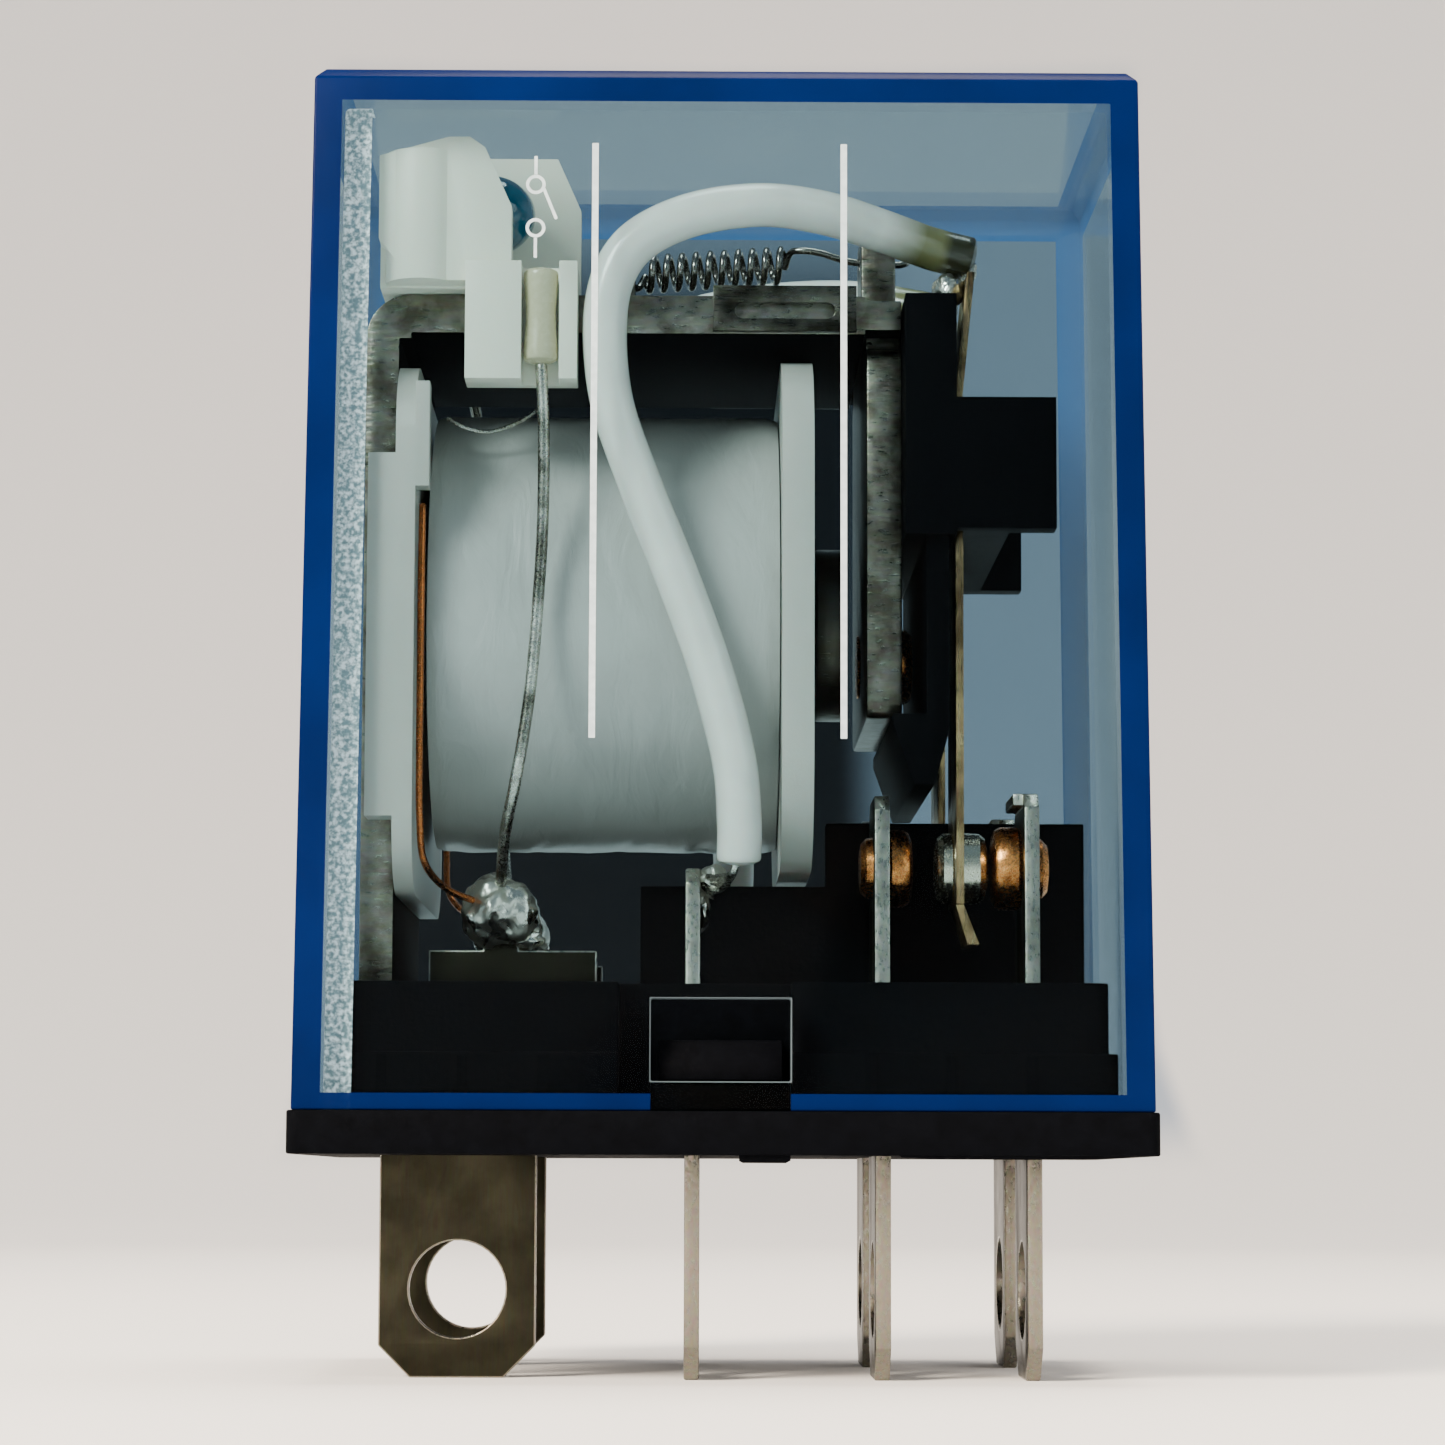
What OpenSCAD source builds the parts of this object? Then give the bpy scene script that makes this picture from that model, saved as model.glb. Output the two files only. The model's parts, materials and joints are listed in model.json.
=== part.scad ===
// Plug-in power relay, two changeover poles, with a clear clip-on cover.
// X runs along the coil, Y across the two poles, Z up. The origin is the centre
// of the flange's underside, which seats on a socket; the blades point down.

/* [Base] */
// Length of the base flange, along X
body_w = 28; // [27.8:0.1:29]
// Depth of the base flange, along Y
body_d = 21.5; // [21.4:0.1:22.5]
// Thickness of the base flange
flange_h = 1.4; // [1.2:0.1:1.5]
// Height of the plinth that holds the terminals, above the seating face
plinth_top = 5.6; // [5.4:0.1:5.8]

/* [Cover] */
// Height of the cover's roof above the seating face
body_h = 35.6; // [35.5:0.1:37]
// Wall thickness of the cover
cover_wall = 0.95; // [0.8:0.05:1]
// Thickness of the cover's roof
cover_roof = 1.15; // [0.8:0.05:1.2]
// How much each side leans in from foot to roof
cover_draft = 0.3; // [0:0.05:0.35]

/* [Terminals] */
// Width of a blade
blade_w = 5.2; // [4.6:0.1:5.3]
// Thickness of a blade
blade_t = 0.5; // [0.4:0.05:0.5]
// Length of a blade below the seating face
blade_len = 7.3; // [6.6:0.1:8]
// Diameter of the wire hole in each blade
blade_hole_d = 3.2; // [1.2:0.1:3.4]
// Distance between the two rows of blades
row_pitch = 10; // [9.8:0.1:10.2]

/* [Coil] */
// Outer diameter of the taped coil
coil_d = 15.3; // [14:0.1:15.4]
// Diameter of the iron core
core_d = 5; // [4:0.1:5.2]

/* [Contacts] */
// Diameter of a normally open contact's head
open_head_d = 2.6; // [2:0.1:2.7]
// Diameter of a normally closed contact's head
closed_head_d = 2.8; // [2:0.1:2.8]
// Diameter of the moving contact
moving_d = 2.4; // [2:0.1:2.6]

/* [Hidden] */

$fn = 48;
eps = 0.01;
row_y = row_pitch / 2;

// where each pair of blades stands along X
coil_x = -8.75;
common_x = -1;
open_x = 5.25;
closed_x = 10.2;

// corner cut at a blade's tip, and the height of its wire hole
tip_chamfer = 1.05;
blade_hole_z = -4.4;

// cover: half sizes outside at the foot, and of the snap windows
cover_x = body_w / 2 - 0.15;
cover_y = body_d / 2 - 0.15;
cover_edge = 0.35;
window_x = -0.1;
window_w = 4.5;
window_z = [2.35, 5];
lip_relief = 0.5;

// base: plinth half sizes, the step in it and the pockets behind the windows
plinth_gap = 0.1;
plinth_x = cover_x - cover_wall - plinth_gap;
plinth_y = cover_y - cover_wall - plinth_gap;
step_z = 3.3;
step_in = 0.28;
pocket_x = [-3.4, 2.2];
pocket_y = 7.9;
tooth_y = plinth_y + 0.4;
tooth_w = 4;
barrier_t = 1.2;
barrier_low = 9.3;
barrier_high = 11.5;
slot_gap = 0.02;

// magnet: heights and stations of the yoke, core and bobbin
coil_z = 18.1;
yoke_t = 1.3;
yoke_top = 28.7;
yoke_left = -12;
yoke_right = 4.7;
yoke_y = 6.9;
bend_r = 1.5;
foot_y = 3.2;
foot_z = 3.6;
ear_end = 5.9;
ear_y = [5.5, 6.9];
lug_x = -3.9;
lug_t = 0.8;
lug_z = 31.55;
spring_hole_d = 1;
lug_hole_z = 30.85;
clip_x = [-0.4, 4.4];
clip_t = 0.3;
clip_drop = 1.25;
clip_slot_x = [0.6, 3.4];
clip_slot = 0.55;
leg_in = yoke_left + 1.1;
pole_x = 4.2;
pole_d = 6;
pole_piece = 1;
rivet_end_d = 3.6;
flange_right = [1.9, 2.95];
flange_left = [-10.85, -10.2];
flange_y = 8.8;
flange_half = 8.65;
wind_x = [-9.85, 1.85];
tape_t = 0.35;
tube_d = 6.9;

// armature: it hinges on the lower edge of the yoke's right end
plate_x = 4.78;
plate_t = 1.2;
plate_y = 5.9;
plate_z = 14.6;
neck_y = 5.3;
neck_z = 27.2;
shoulder_z = 28.9;
tail_y = 1.6;
tail_z = 32.1;
tail_hole_z = 31.3;
plate_right = plate_x + plate_t;
rivet_z = 17;

// contacts
contact_z = 9.6;
contact_x = 7.82;
spring_t = 0.25;
spring_w = 4.4;
card_y = 8;

// wires
lead_d = 1.5;
bare_d = 0.45;
fine_d = 0.3;
return_r = 0.58;
return_wire = 0.26;

// routes, front side, as round numbers
lead_route = [
  [8.3, -5, 30.45], [7, -5.1, 30.75], [5.2, -5.9, 31.2], [3.2, -7.2, 31.5], [1, -8.2, 31.5],
  [-1.4, -8.5, 31], [-3.2, -8.55, 29.9], [-3.95, -8.55, 28], [-3.8, -8.6, 25], [-2.8, -8.6, 22],
  [-1.6, -8.6, 19], [-0.5, -8.6, 16], [0.3, -8.6, 13], [0.5, -8.4, 11], [0.5, -8.2, 9.7]
];
coil_lead_route = [
  [-10, -7.9, 21.4], [-10, -8.15, 19], [-10, -8.2, 16], [-10, -8.2, 13],
  [-9.98, -8, 11], [-9.85, -7.4, 9.6], [-9.2, -6.4, 8.8], [-8.2, -5.6, 8.4]
];
resistor_route = [
  [-6.1, -8.45, 26.1], [-6, -8.45, 24], [-6, -8.4, 21], [-6.15, -8.4, 18], [-6.4, -8.4, 15],
  [-6.8, -8.3, 12.4], [-7.2, -7.2, 10.6], [-7.4, -5.8, 9], [-7.5, -5.4, 8.4]
];
led_route = [
  [-10.3, -3.7, 31.2], [-10.3, -1.5, 31.3], [-10.3, 1.5, 31], [-10.2, 4.5, 30.6], [-9.6, 7.4, 29.6],
  [-9, 8.4, 27], [-8.6, 8.6, 23], [-8.3, 8.6, 18], [-8, 8.5, 13], [-7.8, 7.4, 10.4], [-7.5, 5.5, 8.6]
];

// ---- small helpers ----

// outline in Y and Z, extruded from x0 to x0 + t
module plate_yz(x0, t) {
  translate([x0, 0, 0]) rotate([90, 0, 90]) linear_extrude(t) children();
}

// outline in X and Z, extruded from y0 to y0 + t
module plate_xz(y0, t) {
  translate([0, y0 + t, 0]) rotate([90, 0, 0]) linear_extrude(t) children();
}

// box between two corners
module block(low, high) {
  translate(low) cube(high - low);
}

// rectangle between two corners with round corners
module round_rect(low, high, r) {
  hull()
    for (x = [low[0] + r, high[0] - r], y = [low[1] + r, high[1] - r])
      translate([x, y]) circle(r);
}

// cylinder along X
module rod_x(x0, x1, d, y = 0, z = 0) {
  translate([x0, y, z]) rotate([0, 90, 0]) cylinder(h = x1 - x0, d = d);
}

// profile of [radius, x] points turned about the X axis
module turned_x(points, y, z) {
  translate([0, y, z]) rotate([0, 90, 0]) rotate_extrude() polygon(points);
}

// the front pole as drawn, or its mirror image at the rear
module pole(rear) {
  if (rear) mirror([0, 1, 0]) children();
  else children();
}

// unit vector
function unit(v) = v / norm(v);

// Catmull-Rom point between b and c
function blend_point(a, b, c, d, t) =
  0.5 * (2 * b + (c - a) * t + (2 * a - 5 * b + 4 * c - d) * t * t + (3 * b - a - 3 * c + d) * t * t * t);

// the route with extra points on a smooth curve, steps to each span
function smooth(p, steps) = let (n = len(p) - 1) concat(
  [for (i = [0:n - 1], k = [0:steps - 1])
    blend_point(p[max(i - 1, 0)], p[i], p[i + 1], p[min(i + 2, n)], k / steps)],
  [p[n]]
);

// direction of the route at each point
function tangents(p) = let (n = len(p) - 1)
  [for (i = [0:n]) unit(p[min(i + 1, n)] - p[max(i - 1, 0)])];

// a normal carried along the route without twist
function carried(v, t) = unit(v - (v * t) * t);
function normals(t, start) =
  [for (i = 0, v = carried(start, t[0]); i < len(t); i = i + 1, v = i < len(t) ? carried(v, t[i]) : v) v];

// round wire of diameter d swept along the points
module wire(p, d, sides = 8, start = [0, 0.3, 1]) {
  t = tangents(p);
  v = normals(t, start);
  count = len(p);
  rings = [for (i = [0:count - 1], k = [0:sides - 1]) let (a = 360 * k / sides)
    p[i] + d / 2 * (cos(a) * v[i] + sin(a) * cross(t[i], v[i]))];
  skin = [for (i = [0:count - 2], k = [0:sides - 1]) let (j = i * sides, m = (k + 1) % sides)
    each [[j + k, j + sides + k, j + sides + m], [j + k, j + sides + m, j + m]]];
  ends = [[for (k = [0:sides - 1]) k], [for (k = [sides - 1:-1:0]) (count - 1) * sides + k]];
  polyhedron(rings, concat(skin, ends));
}

// ---- base and cover ----

module round_slab(half_x, half_y, z0, z1, r) {
  translate([0, 0, z0]) linear_extrude(z1 - z0) round_rect([-half_x, -half_y], [half_x, half_y], r);
}

// wedge on the base that snaps into a cover window
module tooth() {
  translate([window_x - tooth_w / 2, 0, 0]) rotate([90, 0, 90]) linear_extrude(tooth_w)
    polygon([[-pocket_y, 2.4], [-tooth_y, 2.4], [-tooth_y, 2.9], [-plinth_y, 3.7], [-pocket_y, 3.7]]);
}

module terminal_slot(x, across) {
  w = blade_w + slot_gap;
  t = blade_t + slot_gap;
  size = across ? [t, w, plinth_top + 2] : [w, t, plinth_top + 2];
  for (y = [-row_y, row_y])
    translate([x - size[0] / 2, y - size[1] / 2, -1]) cube(size);
}

module base() {
  color("#1b1d20") difference() {
    union() {
      round_slab(body_w / 2, body_d / 2, 0, flange_h, 0.4);
      round_slab(plinth_x, plinth_y, flange_h, step_z, 0.5);
      round_slab(plinth_x - step_in, plinth_y - step_in, step_z, plinth_top, 0.5);
      block([-2.8, -barrier_t / 2, plinth_top], [plinth_x - step_in, barrier_t / 2, barrier_low]);
      block([3.6, -barrier_t / 2, plinth_top], [plinth_x - step_in, barrier_t / 2, barrier_high]);
    }
    for (side = [-1, 1])
      block([pocket_x[0], side > 0 ? pocket_y : -body_d, flange_h],
            [pocket_x[1], side > 0 ? body_d : -pocket_y, plinth_top + 1]);
    terminal_slot(coil_x, false);
    for (x = [common_x, open_x, closed_x]) terminal_slot(x, true);
    block([yoke_left - slot_gap, -foot_y - slot_gap, foot_z],
          [leg_in + slot_gap, foot_y + slot_gap, plinth_top + 1]);
  }
  color("#1b1d20") for (rear = [false, true]) pole(rear) tooth();
}

// side view of a box that leans in by the draft and has a bevelled top edge
module drafted(half, z0, z1, edge) {
  top = half - cover_draft;
  polygon([
    [-half, z0], [half, z0], [top, z1 - edge], [top - edge, z1], [edge - top, z1], [-top, z1 - edge]
  ]);
}

module cover_shell(half_x, half_y, z0, z1, edge) {
  intersection() {
    plate_xz(-half_y, 2 * half_y) drafted(half_x, z0, z1, edge);
    plate_yz(-half_x, 2 * half_x) drafted(half_y, z0, z1, edge);
  }
}

module cover() {
  color("#4f8fd0", 0.35) difference() {
    cover_shell(cover_x, cover_y, flange_h, body_h, cover_edge);
    cover_shell(cover_x - cover_wall, cover_y - cover_wall, flange_h - eps, body_h - cover_roof, 0.1);
    block([window_x - window_w / 2, -body_d, window_z[0]], [window_x + window_w / 2, body_d, window_z[1]]);
    for (side = [-1, 1])
      translate([window_x, side * (cover_y - cover_wall), flange_h])
        cube([window_w, 2 * lip_relief, 2 * (window_z[0] - flange_h)], center = true);
  }
}

// ---- terminals and fixed contacts ----

// blade outline: across is the offset along the blade's width, up is Z
module blade_outline(top, head_w) {
  tip_w = blade_w - 2 * tip_chamfer;
  shoulder = plinth_top - 0.6;
  tip_z = tip_chamfer - blade_len;
  difference() {
    polygon([
      [-tip_w / 2, -blade_len], [tip_w / 2, -blade_len],
      [blade_w / 2, tip_z], [blade_w / 2, shoulder],
      [head_w / 2, shoulder], [head_w / 2, top - 0.5], [head_w / 2 - 0.5, top],
      [0.5 - head_w / 2, top], [-head_w / 2, top - 0.5], [-head_w / 2, shoulder],
      [-blade_w / 2, shoulder], [-blade_w / 2, tip_z]
    ]);
    translate([0, blade_hole_z]) circle(d = blade_hole_d);
  }
}

module coil_terminal(rear) {
  color("#a8a49a") pole(rear) {
    plate_xz(-row_y - blade_t / 2, blade_t) {
      translate([coil_x, 0]) blade_outline(5.6, blade_w - 0.6);
      translate([-9.8, plinth_top]) square([5.6, 1.2]);
      translate([-8, plinth_top + 1.1]) square([1.2, 1]);
    }
  }
}

// blade that stands edge-on, with a hole for a rivet or a wire in its head
module edge_blade(x, top, head_w, hole_z, hole_d) {
  plate_yz(x - blade_t / 2, blade_t) translate([-row_y, 0]) difference() {
    blade_outline(top, head_w);
    translate([0, hole_z]) circle(d = hole_d);
  }
}

module common_terminal(rear) {
  color("#a8a49a") pole(rear) edge_blade(common_x, 9.5, 3.4, 8.2, 1.2);
}

module open_terminal(rear) {
  color("#a8a49a") pole(rear) edge_blade(open_x, 11.9, 4.2, contact_z, 1.4);
}

module closed_terminal(rear) {
  color("#a8a49a") pole(rear) {
    edge_blade(closed_x, 12, 4.2, contact_z, 1.4);
    // stiffening lip bent over the top edge
    block([closed_x - 0.6, -row_y - 1.6, 11.6], [closed_x - blade_t / 2 + eps, -row_y + 1.6, 12]);
  }
}

// rivet through a terminal: contact head from face to plate, then tail beyond
module fixed_contact(plate, face, head_d) {
  way = sign(face - plate);
  near = plate + way * blade_t / 2;
  far = plate - way * blade_t / 2;
  head_r = head_d / 2;
  turned_x([
    [0, face], [head_r - 0.25, face], [head_r, face - way * 0.2], [head_r, near], [0.69, near],
    [0.69, far], [1.05, far], [0.9, far - way * 0.45], [0, far - way * 0.45]
  ], -row_y, contact_z);
}

module open_contact(rear) {
  color("#b87342") pole(rear) fixed_contact(open_x, 6.35, open_head_d);
}

module closed_contact(rear) {
  color("#b87342") pole(rear) fixed_contact(closed_x, 8.93, closed_head_d);
}

// ---- magnet ----

module yoke() {
  color("#8d8f8e") difference() {
    union() {
      plate_xz(-yoke_y, 2 * yoke_y) {
        translate([yoke_left, plinth_top]) square([leg_in - yoke_left, yoke_top - plinth_top - bend_r]);
        translate([yoke_left + bend_r, yoke_top - yoke_t]) square([yoke_right - yoke_left - bend_r, yoke_t]);
        intersection() {
          translate([yoke_left + bend_r, yoke_top - bend_r]) circle(bend_r);
          translate([yoke_left, yoke_top - bend_r]) square(bend_r);
        }
      }
      block([yoke_left, -foot_y, foot_z], [leg_in, foot_y, plinth_top]);
      for (side = [-1, 1])
        block([yoke_right, side > 0 ? ear_y[0] : -ear_y[1], yoke_top - 1.15],
              [ear_end, side > 0 ? ear_y[1] : -ear_y[0], yoke_top - 0.15]);
      block([lug_x, -1, yoke_top], [lug_x + lug_t, 1, lug_z]);
    }
    rod_x(lug_x - 1, lug_x + lug_t + 1, spring_hole_d, 0, lug_hole_z);
    rod_x(yoke_left - 1, leg_in + 1, rivet_end_d, 0, coil_z);
  }
}

// saddle pressed over the yoke beside the hinge, with a slotted cheek on each side
module hinge_clip() {
  outer = yoke_y + clip_t;
  slot_z = yoke_top - 0.55;
  color("#8a8c88") difference() {
    union() {
      block([clip_x[0], -outer, yoke_top], [clip_x[1], outer, yoke_top + clip_t]);
      for (side = [-1, 1])
        block([clip_x[0], side > 0 ? yoke_y : -outer, yoke_top - clip_drop],
              [clip_x[1], side > 0 ? outer : -yoke_y, yoke_top]);
    }
    for (x = clip_slot_x)
      translate([x, 0, slot_z]) rotate([90, 0, 0]) cylinder(h = 3 * outer, d = clip_slot, center = true);
    block([clip_slot_x[0], -2 * outer, slot_z - clip_slot / 2],
          [clip_slot_x[1], 2 * outer, slot_z + clip_slot / 2]);
  }
}

module core() {
  color("#a5a29b") union() {
    rod_x(yoke_left, leg_in, rivet_end_d, 0, coil_z);
    rod_x(leg_in, pole_x - pole_piece, core_d, 0, coil_z);
    rod_x(pole_x - pole_piece, pole_x, pole_d, 0, coil_z);
  }
}

module bobbin() {
  low = coil_z - flange_half;
  high = coil_z + flange_half;
  color("#e9e8e2") difference() {
    union() {
      rod_x(flange_left[0], flange_right[1], tube_d, 0, coil_z);
      plate_yz(flange_right[0], flange_right[1] - flange_right[0])
        round_rect([-flange_y, low], [flange_y, high], 4);
      plate_yz(flange_left[0], flange_left[1] - flange_left[0])
        round_rect([-flange_y, low - 0.9], [flange_y, high - 0.5], 2.5);
      for (side = [-1, 1]) {
        block([flange_left[1] - eps, side > 0 ? 7.8 : -flange_y, 21.9],
              [wind_x[0] + 0.1, side > 0 ? flange_y : -7.8, 25.4]);
        block([-11.75, side > 0 ? 7.1 : -flange_y, 11],
              [flange_left[0] + eps, side > 0 ? flange_y : -7.1, 23]);
      }
    }
    rod_x(flange_left[0] - 1, flange_right[1] + 1, core_d + 0.1, 0, coil_z);
  }
}

module ring_x(x0, x1, outer, inner) {
  difference() {
    rod_x(x0, x1, outer, 0, coil_z);
    rod_x(x0 - 1, x1 + 1, inner, 0, coil_z);
  }
}

module coil_winding() {
  color("#a8562a") ring_x(wind_x[0] + 0.3, wind_x[1], coil_d - 2 * tape_t, tube_d);
}

module coil_tape() {
  color("#e4e4e4") ring_x(wind_x[0], wind_x[1], coil_d, coil_d - 2 * tape_t);
}

// ---- moving assembly ----

module armature() {
  color("#9a9a92") difference() {
    plate_yz(plate_x, plate_t) union() {
      round_rect([-plate_y, plate_z], [plate_y, neck_z], 0.5);
      translate([-neck_y, neck_z - 1]) square([2 * neck_y, shoulder_z - neck_z + 1]);
      round_rect([-tail_y, shoulder_z - 1], [tail_y, tail_z], 0.4);
    }
    rod_x(plate_x - 1, plate_right + 1, spring_hole_d, 0, tail_hole_z);
    rod_x(plate_x - 1, plate_right + 1, 1.6, 0, rivet_z);
  }
}

// copper rivet through the armature; its thin left head keeps a gap to the core
module armature_rivet() {
  color("#b4683c") turned_x([
    [0, plate_x - 0.1], [1.1, plate_x - 0.1], [1.1, plate_x], [0.8, plate_x], [0.8, plate_right],
    [1.3, plate_right], [1.3, plate_right + 0.4], [1.1, plate_right + 0.6], [0, plate_right + 0.6]
  ], 0, rivet_z);
}

module contact_card() {
  left = plate_right + 0.02;
  strip = contact_x - spring_t / 2;
  color("#202226") difference() {
    union() {
      block([left, -card_y, 20.5], [strip, card_y, 28.6]);
      block([strip, -card_y, 20.7], [11, card_y, 25.1]);
      plate_xz(-card_y + 0.4, 2 * card_y - 0.8) polygon([
        [6.7, 20.6], [7.45, 20.6], [7.45, 14], [6.95, 12.2], [6.3, 12.2], [5.6, 14.2],
        [5.6, plate_z - 0.05], [6.7, plate_z - 0.05]
      ]);
    }
    // slots that hold the contact springs
    for (y = [-row_y, row_y])
      block([strip - slot_gap, y - spring_w / 2 - slot_gap, 20],
            [strip + spring_t + slot_gap, y + spring_w / 2 + slot_gap, 26]);
    // relief moulded into the back of the block, open below, between two cheeks
    block([9.5, -6.9, 20], [12, 6.9, 24.2]);
  }
}

module contact_spring(rear) {
  strip = contact_x - spring_t / 2;
  color("#8f7a5c") pole(rear) difference() {
    union() {
      block([strip, -row_y - spring_w / 2, 8.3], [strip + spring_t, -row_y + spring_w / 2, 25.2]);
      plate_xz(-row_y - 1.7, 3.4) polygon([
        [strip, 25.1], [strip + spring_t, 25.1], [strip + spring_t + 0.45, 29.6], [strip + 0.45, 29.6]
      ]);
      plate_xz(-row_y - 1.4, 2.8) polygon([
        [strip, 8.4], [strip + spring_t, 8.4], [strip + spring_t + 0.55, 7], [strip + 0.4, 7]
      ]);
    }
    rod_x(strip - 1, strip + spring_t + 1, 1.2, -row_y, contact_z);
  }
}

// double-headed contact with a domed face towards each fixed contact
module moving_contact(rear) {
  strip = contact_x - spring_t / 2;
  r = moving_d / 2;
  left = 7.05;
  right = 8.9;
  dome = 0.15;
  ball = (r * r + dome * dome) / (2 * dome);
  color("#cfc9b4") pole(rear) turned_x(concat(
    [for (a = [0:4]) let (y = r * a / 4) [y, left + ball - sqrt(ball * ball - y * y)]],
    [[r, strip], [0.59, strip], [0.59, strip + spring_t], [r, strip + spring_t]],
    [for (a = [4:-1:0]) let (y = r * a / 4) [y, right - ball + sqrt(ball * ball - y * y)]]
  ), -row_y, contact_z);
}

module spring_solder(rear) {
  color("#b9b9b4") pole(rear) translate([7.6, -row_y, 29.3]) sphere(0.6);
}

// ---- wires and springs ----

// coil of the return spring, with a straight hook at each end
module return_spring() {
  turns = 9.5;
  steps = 10;
  pitch = 0.52;
  x0 = -2.75;
  z0 = 30.9;
  rise = 0.35;
  n = turns * steps;
  coil = [for (i = [0:n]) let (a = 180 + 360 * i / steps, s = i / n)
    [x0 + pitch * i / steps, return_r * sin(a), z0 + rise * s + return_r * cos(a)]];
  left = [[-4.4, 0, 30.95], [-3.5, 0, lug_hole_z], [-3.05, 0, 30.6]];
  right = [[2.5, 0.1, 31.75], [3.4, 0, 31.7], [4.4, 0, 31.4], [5.4, 0, tail_hole_z], [6.5, 0, 31.4]];
  color("#6e6c66") wire(concat(left, coil, right), return_wire, 6, [0, 1, 0.2]);
}

module lead_wire(rear) {
  color("#e8e7e2") pole(rear) wire(smooth(lead_route, 3), lead_d);
}

module common_solder(rear) {
  color("#b9b9b4") pole(rear) translate([common_x + blade_t / 2 + 0.42, -6.1, 9.1]) sphere(0.6);
}

module coil_lead(rear) {
  color("#a8562a") pole(rear) wire(smooth(coil_lead_route, 2), fine_d);
}

module coil_solder(rear) {
  color("#b9b9b4") pole(rear) translate([-7.5, -row_y, 8.1]) sphere(1.32);
}

// ---- indicator ----

module led_holder() {
  front = -9.05;
  color("#e6e4d8") difference() {
    union() {
      plate_xz(-8.7, 0.95) polygon([
        [-11.5, 33], [-9.2, 33.65], [-8.5, 33.65], [-8, 33.3], [-7.1, 31.3], [-7.1, 29.4], [-4.9, 29.4],
        [-4.9, 28.8], [-10.4, 28.8], [-11.5, 30.2]
      ]);
      block([-8.6, front, 25.45], [-4.9, -yoke_y - 0.4, 29.4]);
      plate_xz(-4.6, 0.8) polygon([
        [-11.5, 29.4], [-4.9, 29.4], [-4.9, 32.1], [-5.7, 33.9], [-11.5, 33.9]
      ]);
      block([-11.5, -7.75, 28.72], [-4.9, -3.8, 29.4]);
      block([-11.5, -7.75, 29.4], [-10.9, -4.6, 33]);
      translate([-10.1, -7.85, 28.8]) cylinder(h = 4.4, d = 2.4);
    }
    block([-6.75, -10, 25], [-5.5, -7.85, 29.5]);
    translate([-10.9, -6.2, 31.55]) rotate([0, 90, 0]) cylinder(h = 4, d = 3.05);
  }
}

module led() {
  color("#1f7f9a") translate([-7.9, -6.2, 31.55]) union() {
    rotate([0, -90, 0]) cylinder(h = 2.9, d = 3);
    intersection() {
      sphere(1.5);
      translate([0, -2, -2]) cube(4);
    }
  }
}

module resistor() {
  color("#d9cdb0") translate([-6.12, -8.45, 26.1]) cylinder(h = 3.1, d = 1.15);
}

module resistor_lead() {
  color("#b9b9b4") wire(smooth(resistor_route, 2), bare_d);
}

module led_lead() {
  color("#b9b9b4") wire(smooth(led_route, 2), bare_d);
}

// ---- every node by name ----

base();
cover();
coil_terminal(false);  // coil_terminal_front
coil_terminal(true);  // coil_terminal_rear
common_terminal(false);  // common_terminal_front
common_terminal(true);  // common_terminal_rear
open_terminal(false);  // open_terminal_front
open_terminal(true);  // open_terminal_rear
closed_terminal(false);  // closed_terminal_front
closed_terminal(true);  // closed_terminal_rear
open_contact(false);  // open_contact_front
open_contact(true);  // open_contact_rear
closed_contact(false);  // closed_contact_front
closed_contact(true);  // closed_contact_rear
yoke();
hinge_clip();
core();
bobbin();
coil_winding();
coil_tape();
armature();
armature_rivet();
contact_card();
contact_spring(false);  // contact_spring_front
contact_spring(true);  // contact_spring_rear
moving_contact(false);  // moving_contact_front
moving_contact(true);  // moving_contact_rear
spring_solder(false);  // spring_solder_front
spring_solder(true);  // spring_solder_rear
return_spring();
lead_wire(false);  // lead_wire_front
lead_wire(true);  // lead_wire_rear
common_solder(false);  // common_solder_front
common_solder(true);  // common_solder_rear
coil_lead(false);  // coil_lead_front
coil_lead(true);  // coil_lead_rear
coil_solder(false);  // coil_solder_front
coil_solder(true);  // coil_solder_rear
led_holder();
led();
resistor();
resistor_lead();
led_lead();
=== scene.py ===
"""Looks of a plug-in changeover relay under a clear blue cover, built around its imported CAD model.

Every piece is made in metres in the frame of the CAD model: +X along the coil, +Y to the rear row of
blades, +Z up, with the origin at the seating face under the base."""

import json
import math

import bmesh
import bpy
from bpy.props import FloatProperty, FloatVectorProperty, IntProperty, PointerProperty
from bpy.types import Operator, Panel, PropertyGroup
from mathutils import Matrix, Vector, noise

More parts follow.
